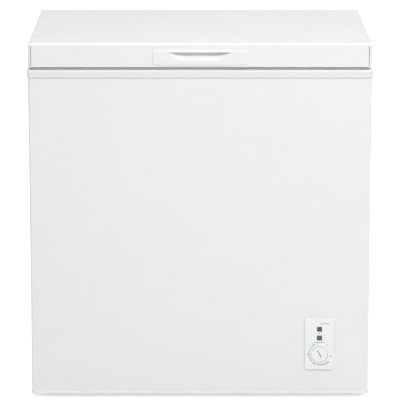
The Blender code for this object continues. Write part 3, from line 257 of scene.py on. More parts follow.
def wire(route, radius, sides=10, closed=False):
    """A round bar along a route, its section carried along without twist."""
    route = [Vector(p) for p in route]
    across = (route[1] - route[0]).orthogonal().normalized()
    rings = []
    for i, point in enumerate(route):
        before = route[i - 1] if closed or i else route[0]
        after = route[(i + 1) % len(route)] if closed or i + 1 < len(route) else route[-1]
        ahead = (after - before).normalized()
        across = (across - ahead * across.dot(ahead)).normalized()
        side = ahead.cross(across)
        turns = [math.tau * k / sides for k in range(sides)]
        rings.append([point + radius * (across * math.cos(t) + side * math.sin(t)) for t in turns])
    return loft(rings, hoop=closed)


def bent(points, radius, steps=5, closed=False):
    """A bar's route with each corner turned on a round bend."""
    points = [Vector(p) for p in points]
    count = len(points)
    route = []
    for i, corner in enumerate(points):
        if not closed and i in (0, count - 1):
            route.append(corner)
            continue
        start = corner + (points[i - 1] - corner).normalized() * radius
        end = corner + (points[(i + 1) % count] - corner).normalized() * radius
        for step in range(steps + 1):
            t = step / steps
            route.append(start * (1 - t) ** 2 + corner * 2 * t * (1 - t) + end * t**2)
    return route


def gathered(shapes):
    """Several closed shapes in one mesh."""
    whole = bmesh.new()
    for shape in shapes:
        mesh = bpy.data.meshes.new("part")
        shape.to_mesh(mesh)
        shape.free()
        whole.from_mesh(mesh)
        bpy.data.meshes.remove(mesh)
    return whole


def moved(shape, matrix):
    bmesh.ops.transform(shape, matrix=matrix, verts=shape.verts)
    return shape


def spare(shape):
    """A passing object that holds a shape while it is cut."""
    mesh = bpy.data.meshes.new("spare")
    shape.to_mesh(mesh)
    shape.free()
    made = bpy.data.objects.new("spare", mesh)
    bpy.context.scene.collection.objects.link(made)
    return made


def combined(solid, operation, cutters):
    """A closed shape after others were cut from it or joined to it."""
    base = spare(solid)
    others = [spare(cutter) for cutter in cutters]
    for other in others:
        step = base.modifiers.new("combine", "BOOLEAN")
        step.operation = operation
        step.solver = "EXACT"
        step.object = other
    bpy.context.view_layer.update()
    result = bmesh.new()
    result.from_object(base, bpy.context.evaluated_depsgraph_get())
    for passing in (base, *others):
        mesh = passing.data
        bpy.data.objects.remove(passing)
        bpy.data.meshes.remove(mesh)
    return result


def cut(solid, *cutters):
    return combined(solid, "DIFFERENCE", cutters)


def joined(solid, *others):
    return combined(solid, "UNION", others)


# ---------------------------------------------------------------- shader effects used by several finishes
def effect(name, inputs, outputs):
    """A node group, what it is given and what it puts out, from (name, kind, value) and (name, kind)."""
    tree = bpy.data.node_groups.new(name, "ShaderNodeTree")
    for label, kind, value in inputs:
        socket = tree.interface.new_socket(label, in_out="INPUT", socket_type=kind)
        socket.default_value = value
    for label, kind in outputs:
        tree.interface.new_socket(label, in_out="OUTPUT", socket_type=kind)
    return tree, tree.nodes.new("NodeGroupInput").outputs, tree.nodes.new("NodeGroupOutput").inputs


def add(tree, kind, settings=None, inputs=None):
    """A node with its settings, and its inputs set to a value or linked to an output."""
    made = tree.nodes.new(kind)
    for label, value in (settings or {}).items():
        setattr(made, label, value)
    for label, value in (inputs or {}).items():
        if isinstance(value, bpy.types.NodeSocket):
            tree.links.new(value, made.inputs[label])
        else:
            made.inputs[label].default_value = value
    return made


def maths(tree, operation, first, second=0.5, clamp=False):
    inputs = {0: first, 1: second}
    return add(tree, "ShaderNodeMath", {"operation": operation, "use_clamp": clamp}, inputs).outputs[0]


def times(tree, first, second, clamp=False):
    return maths(tree, "MULTIPLY", first, second, clamp)


def share_of_both(tree, first, second, part):
    """Two values added, the first by its part and the second by the rest."""
    return maths(tree, "ADD", times(tree, first, part), times(tree, second, 1 - part))


def object_place(tree):
    return add(tree, "ShaderNodeTexCoord").outputs["Object"]


def vectors(tree, operation, inputs):
    return add(tree, "ShaderNodeVectorMath", {"operation": operation}, inputs).outputs


def warped_place(tree, scale, detail, push):
    """Object coordinates pushed about by a noise, so that a cell pattern loses its straight borders."""
    place = object_place(tree)
    warp = add(tree, "ShaderNodeTexNoise", None, {"Vector": place, "Scale": scale, "Detail": detail})
    shift = vectors(tree, "SCALE", {0: warp.outputs["Color"], "Scale": push})[0]
    return vectors(tree, "ADD", {0: place, 1: shift})[0]


def cells(tree, place, scale, smoothness):
    """Distance to the middle of softly bordered cells."""
    inputs = {"Vector": place, "Scale": scale, "Smoothness": smoothness}
    return add(tree, "ShaderNodeTexVoronoi", {"feature": "SMOOTH_F1"}, inputs).outputs["Distance"]


def mapped(tree, value, low, high, to_low=0.0, to_high=1.0):
    """A value stretched from one range to another, kept inside it."""
    inputs = {"Value": value, "From Min": low, "From Max": high, "To Min": to_low, "To Max": to_high}
    return add(tree, "ShaderNodeMapRange", {"clamp": True}, inputs).outputs["Result"]


def blended(tree, factor, first, second):
    """One colour turning into another as the factor goes from 0 to 1."""
    made = add(tree, "ShaderNodeMix", {"data_type": "RGBA"})
    for label, value in ((0, factor), (6, first), (7, second)):
        if isinstance(value, bpy.types.NodeSocket):
            tree.links.new(value, made.inputs[label])
        else:
            made.inputs[label].default_value = value
    return made.outputs[2]


def noise(tree, scale, detail=2.0, vector=None, roughness=0.5):
    place = vector or object_place(tree)
    inputs = {"Vector": place, "Scale": scale, "Detail": detail, "Roughness": roughness}
    return add(tree, "ShaderNodeTexNoise", None, inputs).outputs["Fac"]


def tone_drift():
    """Slow, faint change of a colour over a surface, as paint and plastic show."""
    tree, given, result = effect(
        "Tone drift",
        [("Colour", "NodeSocketColor", (0.8, 0.8, 0.8, 1)), ("Drift", "NodeSocketFloat", 0.03),
         ("Scale", "NodeSocketFloat", 4.0)],
        [("Colour", "NodeSocketColor")],
    )
    broad = noise(tree, given["Scale"], 3.0)
    fine = noise(tree, times(tree, given["Scale"], 14.0), 2.0)
    dark = times(tree, mapped(tree, share_of_both(tree, broad, fine, 0.7), 0.35, 0.65), given["Drift"])
    shade = maths(tree, "SUBTRACT", 1.0, dark)
    tree.links.new(vectors(tree, "SCALE", {0: given["Colour"], "Scale": shade})[0], result["Colour"])
    return tree


def relief_effect(name, scale, shape):
    """An effect with a Scale input and a Height output, which shape() works out from the scale."""
    inputs, outputs = [("Scale", "NodeSocketFloat", scale)], [("Height", "NodeSocketFloat")]
    tree, given, result = effect(name, inputs, outputs)
    tree.links.new(shape(tree, given["Scale"]), result["Height"])
    return tree


def orange_peel(tree, scale):
    """The shallow ripple of sprayed or powdered paint."""
    ripple = noise(tree, scale, 1.0)
    speck = noise(tree, times(tree, scale, 3.1), 1.0)
    return share_of_both(tree, ripple, speck, 0.8)


def moulded_grain(tree, scale):
    """The fine leathery texture that a mould leaves on plastic and rubber."""
    leather = cells(tree, object_place(tree), scale, 0.6)
    fuzz = noise(tree, times(tree, scale, 2.0), 2.0)
    return share_of_both(tree, leather, fuzz, 0.6)


def stucco_emboss(tree, scale):
    """The pebbled emboss rolled into the tub's aluminium."""
    pebbles = cells(tree, warped_place(tree, 240.0, 1.0, 0.004), scale, 0.35)
    return maths(tree, "SUBTRACT", 1.0, pebbles)


def foam_pores(tree, scale):
    """Cells and small voids of cut polyurethane foam."""
    pores = add(tree, "ShaderNodeTexVoronoi", None, {"Vector": object_place(tree), "Scale": scale})
    voids = mapped(tree, noise(tree, 120.0, 3.0), 0.36, 0.5)
    return times(tree, pores.outputs["Distance"], voids)


def edge_wear():
    """A mask along outer edges, broken up as rubbing leaves it."""
    tree, given, result = effect(
        "Edge wear",
        [("Width", "NodeSocketFloat", 0.001), ("Amount", "NodeSocketFloat", 0.3)],
        [("Mask", "NodeSocketFloat")],
    )
    rounded = add(tree, "ShaderNodeBevel", {"samples": 4}, {"Radius": given["Width"]}).outputs[0]
    plain = add(tree, "ShaderNodeNewGeometry").outputs["Normal"]
    facing = vectors(tree, "DOT_PRODUCT", {0: rounded, 1: plain})["Value"]
    edge = mapped(tree, facing, 0.995, 0.86)
    broken = mapped(tree, noise(tree, 210.0, 4.0), 0.42, 0.62)
    mask = times(tree, times(tree, edge, broken), given["Amount"], clamp=True)
    tree.links.new(mask, result["Mask"])
    return tree


def settled_dust():
    """A mask where dust settles: on faces that look up, in drifts."""
    tree, given, result = effect(
        "Settled dust", [("Amount", "NodeSocketFloat", 0.2)], [("Mask", "NodeSocketFloat")]
    )
    normal = add(tree, "ShaderNodeNewGeometry").outputs["Normal"]
    up = add(tree, "ShaderNodeSeparateXYZ", None, {0: normal}).outputs["Z"]
    drifts = mapped(tree, noise(tree, 22.0, 5.0), 0.35, 0.7)
    mask = times(tree, times(tree, mapped(tree, up, 0.3, 0.95), drifts), given["Amount"], clamp=True)
    tree.links.new(mask, result["Mask"])
    return tree


def brushed_lines():
    """Long fine scratches along X, as drawn or rolled metal has."""
    tree, given, result = effect(
        "Brushed lines",
        [("Across", "NodeSocketFloat", 1400.0), ("Along", "NodeSocketFloat", 14.0)],
        [("Height", "NodeSocketFloat")],
    )
    scale = add(tree, "ShaderNodeCombineXYZ", None,
                {"X": given["Along"], "Y": given["Across"], "Z": given["Across"]})
    drawn = vectors(tree, "MULTIPLY", {0: object_place(tree), 1: scale.outputs[0]})[0]
    tree.links.new(noise(tree, 1.0, 3.0, drawn), result["Height"])
    return tree


def zinc_spangle():
    """The crystal pattern of hot-dip zinc: a tone for each grain, and its borders."""
    tree, given, result = effect(
        "Zinc spangle",
        [("Scale", "NodeSocketFloat", 90.0)],
        [("Tone", "NodeSocketFloat"), ("Height", "NodeSocketFloat")],
    )
    inputs = {"Vector": warped_place(tree, 60.0, 2.0, 0.012), "Scale": given["Scale"]}
    grains = add(tree, "ShaderNodeTexVoronoi", None, inputs).outputs
    tone = add(tree, "ShaderNodeSeparateColor", None, {0: grains["Color"]}).outputs[0]
    tree.links.new(tone, result["Tone"])
    tree.links.new(grains["Distance"], result["Height"])
    return tree


TONE_DRIFT = tone_drift()
ORANGE_PEEL = relief_effect("Orange peel", 420.0, orange_peel)
MOULDED_GRAIN = relief_effect("Moulded grain", 1300.0, moulded_grain)
EDGE_WEAR = edge_wear()
SETTLED_DUST = settled_dust()
BRUSHED_LINES = brushed_lines()
ZINC_SPANGLE = zinc_spangle()
STUCCO_EMBOSS = relief_effect("Stucco emboss", 330.0, stucco_emboss)
FOAM_PORES = relief_effect("Foam pores", 420.0, foam_pores)


# ---------------------------------------------------------------- finishes
def used(tree, group, inputs=None):
    return add(tree, "ShaderNodeGroup", {"node_tree": group}, inputs).outputs


def finish(name, colour, roughness, texture, scale, depth, drift=0.03, drift_scale=4.0, wear=0.0,
           wear_width=0.001, wear_colour=(0.5, 0.5, 0.5), dust=0.0, unevenness=0.08, tone=None,
           metallic=0.0, coat=(0.0, 0.03)):
    """A finish: a drifting colour, worn edges, dust, uneven gloss and a surface texture.

    The texture takes the scale as its first input. The coat is its weight and its roughness."""
    made = bpy.data.materials.new(name)
    made.use_nodes = True
    tree = made.node_tree
    shader = tree.nodes["Principled BSDF"].inputs
    shader["Metallic"].default_value = metallic
    shader["Coat Weight"].default_value, shader["Coat Roughness"].default_value = coat
    shown = used(tree, TONE_DRIFT, {"Colour": (*colour, 1), "Drift": drift, "Scale": drift_scale})["Colour"]
    relief = used(tree, texture, {0: scale})
    if tone:
        grain = mapped(tree, relief["Tone"], 0.0, 1.0)
        shown = blended(tree, grain, shown, (*tone, 1))
    if wear:
        rubbed = used(tree, EDGE_WEAR, {"Width": wear_width, "Amount": wear})["Mask"]
        shown = blended(tree, rubbed, shown, (*wear_colour, 1))
    if dust:
        shown = blended(tree, used(tree, SETTLED_DUST, {"Amount": dust})["Mask"], shown, DUST_COLOUR)
    low, high = roughness - unevenness / 2, roughness + unevenness / 2
    gloss = mapped(tree, noise(tree, 9.0, 4.0), 0.3, 0.7, low, high)
    inputs = {"Height": relief["Height"], "Strength": 1.0, "Distance": depth}
    bump = add(tree, "ShaderNodeBump", None, inputs)
    for label, value in (("Base Color", shown), ("Roughness", gloss), ("Normal", bump.outputs["Normal"])):
        tree.links.new(value, shader[label])
    made.diffuse_color = (*colour, 1)
    return made


def white_enamel():
    return finish("white enamel on steel", (0.865, 0.865, 0.868), 0.30, ORANGE_PEEL, 480.0, 0.00004,
                  drift=0.012, drift_scale=2.5, wear=0.12, wear_width=0.0006,
                  wear_colour=(0.74, 0.74, 0.75), unevenness=0.05, coat=(0.25, 0.18))


def frame_plastic():
    return finish("white frame moulding", (0.815, 0.815, 0.812), 0.42, MOULDED_GRAIN, 1100.0, 0.00006,
                  drift=0.02, wear=0.15, wear_colour=(0.72, 0.71, 0.69))


def handle_plastic():
    return finish("white handle moulding", (0.865, 0.865, 0.862), 0.34, MOULDED_GRAIN, 1500.0, 0.00003,
                  drift=0.015, wear=0.12, wear_colour=(0.78, 0.77, 0.75))


def panel_plastic():
    return finish("white control panel", (0.90, 0.90, 0.905), 0.33, MOULDED_GRAIN, 1700.0, 0.00002,
                  drift=0.01, wear=0.08, wear_colour=(0.8, 0.8, 0.8))


def coated_wire():
    return finish("white coated wire", (0.85, 0.85, 0.85), 0.33, ORANGE_PEEL, 700.0, 0.00008,
                  drift=0.04, drift_scale=30.0, coat=(0.3, 0.2))


def tub_aluminium():
    return finish("stucco aluminium", (0.87, 0.875, 0.88), 0.40, STUCCO_EMBOSS, 300.0, 0.00025,
                  drift=0.05, drift_scale=5.0, unevenness=0.12, metallic=0.5)


def pipe_aluminium():
    return finish("drawn aluminium", (0.80, 0.81, 0.82), 0.34, BRUSHED_LINES, 1400.0, 0.00004, drift=0.08,
                  drift_scale=20.0, metallic=1.0)


def galvanised_sheet():
    return finish("galvanised sheet", (0.66, 0.67, 0.68), 0.42, ZINC_SPANGLE, 95.0, 0.00003,
                  drift=0.08, drift_scale=6.0, unevenness=0.2, tone=(0.56, 0.575, 0.59), dust=0.15,
                  metallic=0.9)


def plated_steel():
    return finish("zinc plated steel", (0.70, 0.70, 0.68), 0.30, BRUSHED_LINES, 900.0, 0.00004,
                  drift=0.10, drift_scale=16.0, wear=0.3, wear_colour=(0.85, 0.85, 0.84), unevenness=0.14,
                  metallic=1.0)


def spring_steel():
    return finish("oiled spring steel", (0.12, 0.12, 0.13), 0.42, BRUSHED_LINES, 1200.0, 0.00003,
                  drift=0.15, drift_scale=30.0, wear=0.3, wear_colour=(0.4, 0.4, 0.4),
                  metallic=0.8)


def black_enamel():
    return finish("black enamel on steel", (0.022, 0.022, 0.024), 0.30, ORANGE_PEEL, 350.0, 0.0001,
                  drift=0.2, wear=0.35, wear_colour=(0.16, 0.15, 0.14), dust=0.35,
                  coat=(0.4, 0.2))


def tarnished_copper():
    return finish("tarnished copper", (0.80, 0.42, 0.26), 0.32, BRUSHED_LINES, 700.0, 0.00003,
                  drift=0.45, drift_scale=26.0, wear=0.2, wear_colour=(0.9, 0.55, 0.4), unevenness=0.2,
                  metallic=1.0)


def poured_foam():
    return finish("polyurethane foam", (0.85, 0.78, 0.58), 0.9, FOAM_PORES, 420.0, 0.0005,
                  drift=0.15, drift_scale=14.0)


def grey_rubber():
    return finish("grey seal rubber", (0.85, 0.85, 0.85), 0.62, MOULDED_GRAIN, 900.0, 0.00006,
                  drift=0.06, drift_scale=18.0)


def black_rubber():
    return finish("black rubber", (0.032, 0.032, 0.033), 0.75, MOULDED_GRAIN, 800.0, 0.0001,
                  drift=0.15, drift_scale=18.0, wear=0.25, wear_colour=(0.10, 0.10, 0.10), dust=0.3)


def black_plastic():
    return finish("black moulding", (0.032, 0.032, 0.034), 0.45, MOULDED_GRAIN, 1100.0, 0.00008,
                  drift=0.1, wear=0.25, wear_colour=(0.12, 0.12, 0.12), dust=0.15)


def green_lens():
    return finish("green lamp lens", (0.022, 0.150, 0.045), 0.22, MOULDED_GRAIN, 620.0, 0.0001,
                  drift=0.2, drift_scale=90.0, unevenness=0.04,
                  coat=(0.6, 0.08))


# Grey for the panel's printing, also used for painted shade in the dial's slot and round the dial's ring.
def dark_ink_and_painted_shade():
    return finish("grey panel ink and painted shade", (0.11, 0.11, 0.12), 0.5, ORANGE_PEEL, 2600.0, 0.00001, drift=0.2,
                  drift_scale=120.0)


def green_ink():
    return finish("green panel ink", (0.22, 0.38, 0.27), 0.5, ORANGE_PEEL, 2600.0, 0.00001, drift=0.2,
                  drift_scale=120.0)


# Grey for the strips in the lid's corner seams: painted shade of the seam's groove.
def seam_shade_paint():
    return finish("grey painted seam shade", (0.46, 0.46, 0.46), 0.6, ORANGE_PEEL, 900.0, 0.00003, drift=0.1,
                  drift_scale=60.0)


FINISHES = {
    "white_steel": white_enamel(),
    "frame_plastic": frame_plastic(),
    "white_plastic": handle_plastic(),
    "panel_plastic": panel_plastic(),
    "white_wire": coated_wire(),
    "liner_aluminium": tub_aluminium(),
    "pipe_aluminium": pipe_aluminium(),
    "galvanised": galvanised_sheet(),
    "zinc_steel": plated_steel(),
    "dark_steel": spring_steel(),
    "black_steel": black_enamel(),
    "copper": tarnished_copper(),
    "foam": poured_foam(),
    "grey_rubber": grey_rubber(),
    "black_rubber": black_rubber(),
    "black_plastic": black_plastic(),
    "green_lens": green_lens(),
}
DARK_INK_AND_PAINTED_SHADE = dark_ink_and_painted_shade()
GREEN_INK = green_ink()
SEAM_SHADE_GREY = seam_shade_paint()


# ---------------------------------------------------------------- pieces
def piece(name, shape, slot, body, stands_for=(), sharp=SHARP, material=None):
    """A shape made into a shown object that rides on a body."""
    bmesh.ops.recalc_face_normals(shape, faces=shape.faces)
    mesh = bpy.data.meshes.new(name)
    shape.to_mesh(mesh)
    shape.free()
    mesh.shade_smooth()
    mesh.set_sharp_from_angle(angle=math.radians(sharp))
    mesh.materials.append(material or FINISHES[slot])
    made = bpy.data.objects.new(name, mesh)
    bpy.context.scene.collection.objects.link(made)
    flat = made.modifiers.new("even shading", "WEIGHTED_NORMAL")
    flat.keep_sharp = True
    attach(made, body)
    if stands_for:
        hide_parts(*stands_for)
    return made


def lid_ring(inset, z, radius=LID_CORNER, groove=0.0):
    """A level ring of the lid with a notch at each corner seam on its front and back."""
    half_x, half_y = LID_HALF_X - inset, LID_HALF_Y - inset
    seam_x = half_x - radius - SEAM_WIDTH / 2 - 0.0002
    ring = []
    for sign_x, sign_y, start in ((1, -1, -90), (1, 1, 0), (-1, 1, 90), (-1, -1, 180)):
        corner = arc((sign_x * (half_x - radius), sign_y * (half_y - radius)), radius, start, start + 90)
        notch = []
        for across, depth in ((-0.5, 0.0), (-0.34, 1.0), (0.34, 1.0), (0.5, 0.0)):
            x = sign_x * seam_x - sign_y * across * SEAM_WIDTH
            notch.append((x, sign_y * (half_y - depth * groove)))
        ring += notch + corner if sign_x != sign_y else corner + notch
    return stood(ring, z, "Z", (0.0, MID_Y))


def lid_skin():
    """The pressed lid: folded lip, skirt with corner seams, rounded edge and a flat top."""
    low, top = LID_LOW.z, LID_HIGH.z
    sheet = LID_SHEET
    inner = LID_CORNER - sheet
    edge = arc((LID_EDGE, top - LID_EDGE), LID_EDGE, 180, 90)
    hem = arc((0.001, low + 0.001), 0.001, 270, 180, 4)
    rings = [
        lid_ring(LID_EDGE, top - sheet),
        lid_ring(sheet, top - LID_EDGE, inner),
        lid_ring(sheet, low + sheet, inner),
        lid_ring(LID_LIP, low + sheet),
        lid_ring(LID_LIP, low),
        *[lid_ring(inset, z) for inset, z in hem],
        lid_ring(0.0, low + 0.0020, groove=SEAM_DEPTH),
        lid_ring(0.0, top - LID_EDGE - 0.0008, groove=SEAM_DEPTH),
        *[lid_ring(inset, z) for inset, z in edge],
        lid_ring(LID_EDGE + 0.004, top),
        lid_ring(LID_EDGE + 0.030, top),
    ]
    opening = block(
        (-SCOOP_TOP_HALF - 0.0023, SCOOP_TOP_HALF + 0.0023),
        (LID_LOW.y - 0.01, LID_LOW.y + 0.02),
        (HANDLE_LOW.z + 0.0075, HANDLE_HIGH.z - 0.0053),
    )
    piece("lid_skin_pressed", cut(loft(rings), opening), "white_steel", "lid", ["lid_skin"])
    # Grey strips in the corner seams, front and back, are painted shade of the seam's groove.
    seam_x = LID_HIGH.x - LID_CORNER - SEAM_WIDTH / 2 - 0.0002
    tall = (low + 0.0030, top - LID_EDGE - 0.0018)
    fills = []
    for x in (-seam_x, seam_x):
        for wall, inward in ((LID_LOW.y, 1), (LID_HIGH.y, -1)):
            deep = sorted((wall + inward * 0.0004, wall + inward * (SEAM_DEPTH - GAP / 3)))
            fills.append(block((x - SEAM_SHADE_WIDTH / 2, x + SEAM_SHADE_WIDTH / 2), deep, tall))
    piece("lid_seam_shade_paint", gathered(fills), None, "lid", material=SEAM_SHADE_GREY)


def scoop_depth(x, fall):
    """Depth of the finger scoop at a place across it and a fall below its lip, from 0 to 1."""
    reach = SCOOP_TOP_HALF + (SCOOP_LOW_HALF - SCOOP_TOP_HALF) * fall
    side = eased(share(reach - abs(x), 0.0, 0.024))
    return SCOOP_DEPTH * side * (0.5 + 0.5 * math.cos(math.pi * fall)) ** 1.15


def handle_column(x):
    """Side view of the handle at one place across it, as (y, z): front, scoop and back."""
    half = HANDLE_HIGH.x
    seat = LID_LOW.y - GAP
    end = GRIP_ROUND * (1 - math.sqrt(1 - (1 - share(half - abs(x), 0.0, GRIP_ROUND)) ** 2))
    face = HANDLE_LOW.y + end
    top = HANDLE_HIGH.z
    bottom = HANDLE_LOW.z + 0.0028 * eased(share(abs(x), half - 0.022, half))
    lip = top - SCOOP_UNDER_TOP
    low = HANDLE_LOW.z + SCOOP_OVER_BOTTOM
    bead = eased(share(SCOOP_TOP_HALF + 0.002 - abs(x), 0.0, 0.008))
    edge = face - 0.0005 * bead
    rounding = 0.00002 + 0.0005 * bead
    front = [(seat, top), (seat - 0.0003, top - 0.0001), (edge, lip + 0.0012)]
    front += arc((edge + rounding, lip + rounding), rounding, 180, 270, 3)
    steps = 16
    ramp = []
    for i in range(steps + 1):
        fall = i / steps
        ramp.append((max(scoop_depth(x, fall), rounding * (1 - fall)), lip - (lip - low) * fall))
    front += [(face + y, z) for y, z in ramp]
    front += arc((face + GRIP_ROUND, bottom + GRIP_ROUND), GRIP_ROUND, 180, 270, 4)
    back = [(seat, bottom)]
    back += [(max(seat, face + y + SCOOP_WALL), z - SCOOP_WALL * 0.6) for y, z in reversed(ramp)]
    back.append((max(seat, face + ramp[0][0] + SCOOP_WALL), lip + SCOOP_WALL * 0.9))
    back.append((seat, lip + SCOOP_WALL * 0.9))
    return front + back


def lid_handle():
    half = HANDLE_HIGH.x
    places = [half - inset for inset in (0.0, 0.0001, 0.0003, 0.0006, 0.0009, 0.002)]
    places += [half - 0.022 * i / 6 for i in range(1, 7)]
    count = 26
    places += [SCOOP_TOP_HALF + 0.001 - 0.028 * i / count for i in range(count + 1)]
    places += [0.045 * (1 - i / 8) for i in range(9)]
    columns = sorted({round(x, 7) for x in places} | {round(-x, 7) for x in places})
    rings = [[(x, y, z) for y, z in handle_column(x)] for x in columns]
    piece("lid_handle_moulding", loft(rings), "white_plastic", "lid", ["lid_handle"], sharp=50)


def lid_gasket():
    """A magnetic seal: flat face, two side bellows and an anchor under the lid."""
    low, high = GASKET_LOW.z, GASKET_HIGH.z
    width, flap = GASKET_WIDTH, -GASKET_FLAP
    bellows = [(flap, low + 0.0005), (flap + 0.0005, low), (width - 0.0006, low), (width, low + 0.0006),
               (width, low + 0.0022), (width - 0.0026, low + 0.0030), (width - 0.0008, low + 0.0040),
               (width - 0.0032, low + 0.0050), (width - 0.0016, high - 0.0004), (width - 0.0020, high),
               (0.0020, high), (0.0016, high - 0.0004), (0.0022, low + 0.0046), (0.0004, low + 0.0034),
               (flap + 0.0010, low + 0.0016), (flap, low + 0.0011)]
    half_x, half_y, _ = halves(GASKET_LOW, GASKET_HIGH)
    rings = [level(half_x - inset, half_y - inset, 0.008, z) for inset, z in bellows]
    piece("lid_gasket_bellows", loft(rings, hoop=True), "grey_rubber", "lid", ["lid_gasket"])


def lid_inner_panel():
    """The vacuum-formed inner panel: gasket track, raised middle and a stiffening border."""
    low, high = INNER_LOW.z, INNER_HIGH.z
    full_x, full_y, _ = halves(INNER_LOW, INNER_HIGH)
    track = LID_LIP - (LID_HIGH.x - INNER_HIGH.x) + 0.001
    under = LID_LOW.z + 0.0005

    def outer(inset, z):
        return level(full_x - inset, full_y - inset, LID_CORNER, z)

    def middle(inset, radius, z):
        return level(LID_HALF_X - FIELD_INSET - inset, LID_HALF_Y - FIELD_INSET - inset, radius, z)

    fall = [(FIELD_SLOPE * i / 10, (low - under) * eased(i / 10)) for i in range(11)]
    border = ((0.0, 0.0), (0.004, 0.0010), (0.010, 0.0010), (0.014, 0.0))
    field = ((0.018, 0.0), (0.0195, 0.0001), (0.0225, 0.0011), (0.0240, 0.0012))
    seen = [outer(track, under + 0.0011), outer(track, under)]
    seen += [middle(inset - BORDER_OUT, 0.060, under - rise) for inset, rise in border]
    seen += [middle(inset, 0.030 - inset / 2, under + drop) for inset, drop in fall]
    seen += [middle(FIELD_SLOPE + inset, 0.020, low + rise) for inset, rise in field]
    hidden = [outer(track, high - 0.0022), outer(0.0, high - 0.0022), outer(0.0, high),
              middle(-BORDER_OUT, 0.060, high), middle(0.0, 0.030, high),
              middle(FIELD_SLOPE + 0.002, 0.020, low + 0.0018),
              middle(FIELD_SLOPE + 0.026, 0.020, low + 0.0018)]
    piece("lid_inner_panel_formed", loft(seen[::-1] + hidden), "frame_plastic", "lid", ["lid_inner_panel"])


def top_frame():
    """The moulded frame: outer leg, gasket seat with a drip groove, basket ledge and inner skirt."""
    top, leg_low = FRAME_HIGH.z, WRAP_HIGH.z - 0.0119
    half_x, half_y, _ = halves(FRAME_LOW, FRAME_HIGH)
    skirt_out = half_x - (LINER_HIGH.x - LINER_SHEET) + GAP
    edge = skirt_out + LEG
    ledge = top - LEDGE_DROP
    section = [(0.0004, leg_low), (0.0, leg_low + 0.0004)]
    section += arc((FRAME_ROUND, top - FRAME_ROUND), FRAME_ROUND, 180, 90)
    section += [(0.0300, top), (0.0306, top - 0.0007), (0.0324, top - 0.0007), (0.0330, top)]
    section += arc((SEAT_WIDTH - 0.0012, top - 0.0012), 0.0012, 90, 0, 4)
    section += arc((SEAT_WIDTH + 0.0018, ledge + 0.0015), 0.0015, 180, 270, 4)
    section += arc((edge - 0.0014, ledge - 0.0014), 0.0014, 90, 0, 4)
    section += [(edge, FRAME_LOW.z + 0.0006), (edge - 0.0006, FRAME_LOW.z), (skirt_out, FRAME_LOW.z),
                (skirt_out, ledge - 0.0025), (SEAT_WIDTH - 0.0015, ledge - 0.0025),
                (SEAT_WIDTH - 0.0025, top - 0.0025), (LEG, top - 0.0025), (LEG, leg_low)]
    rings = []
    for inset, z in section:
        inward = max(inset - LEG, 0) / (edge - LEG)
        radius = LEG_CORNER + (TUB_CORNER - LEG_CORNER) * inward + max(LEG - inset, 0)
        rings.append(level(half_x - inset, half_y - inset, radius, z))
    piece("top_frame_moulding", loft(rings, hoop=True), "frame_plastic", "cabinet", ["top_frame"])


def inner_liner():
    """The aluminium tub: round corners, a step over the compressor and a drain hole."""
    half_x = LINER_HIGH.x - LINER_SHEET
    half_y = (LINER_HIGH.y - LINER_LOW.y) / 2 - LINER_SHEET
    top, floor = LINER_HIGH.z, LINER_LOW.z + LINER_SHEET

    def space(grow, lid_z):
        out_x, out_y = half_x + grow, half_y + grow
        step = Vector((STEP_EDGE_X + grow, STEP_TOP_Z - grow))
        side = [(-out_x, floor - grow), (step.x, floor - grow), tuple(step), (out_x, step.y),
                (out_x, lid_z), (-out_x, lid_z)]
        shape = prism(side, MID_Y - out_y, MID_Y + out_y, "Y")

        def rounded(edges, radius, segments):
            bmesh.ops.bevel(shape, geom=edges, offset=radius + grow, segments=segments, profile=0.5,
                            affect="EDGES", clamp_overlap=True)

        def on_step(edge):
            return all((vert.co.xz - step).length < 0.0001 for vert in edge.verts)

        upright = [e for e in shape.edges if abs(e.verts[0].co.z - e.verts[1].co.z) > 0.01
                   and min(abs(v.co.x) for v in e.verts) > STEP_EDGE_X + 0.01]
        rounded(upright, TUB_CORNER, 8)
        rims = [e for e in shape.edges if len(e.link_faces) == 2 and e.calc_face_angle() > math.radians(40)
                and min(v.co.z for v in e.verts) < lid_z - 0.01 and not on_step(e)]
        rounded(rims, TUB_FLOOR_ROUND, 6)
        return shape

    drain = rod(0.0110, floor - 0.01, floor + 0.01, across(PLUG_LOW, PLUG_HIGH, "Z"), "Z", 32)
    tub = cut(space(LINER_SHEET, top), space(0.0, top + 0.05), drain)
    piece("inner_liner_tub", tub, "liner_aluminium", "cabinet", ["inner_liner"])


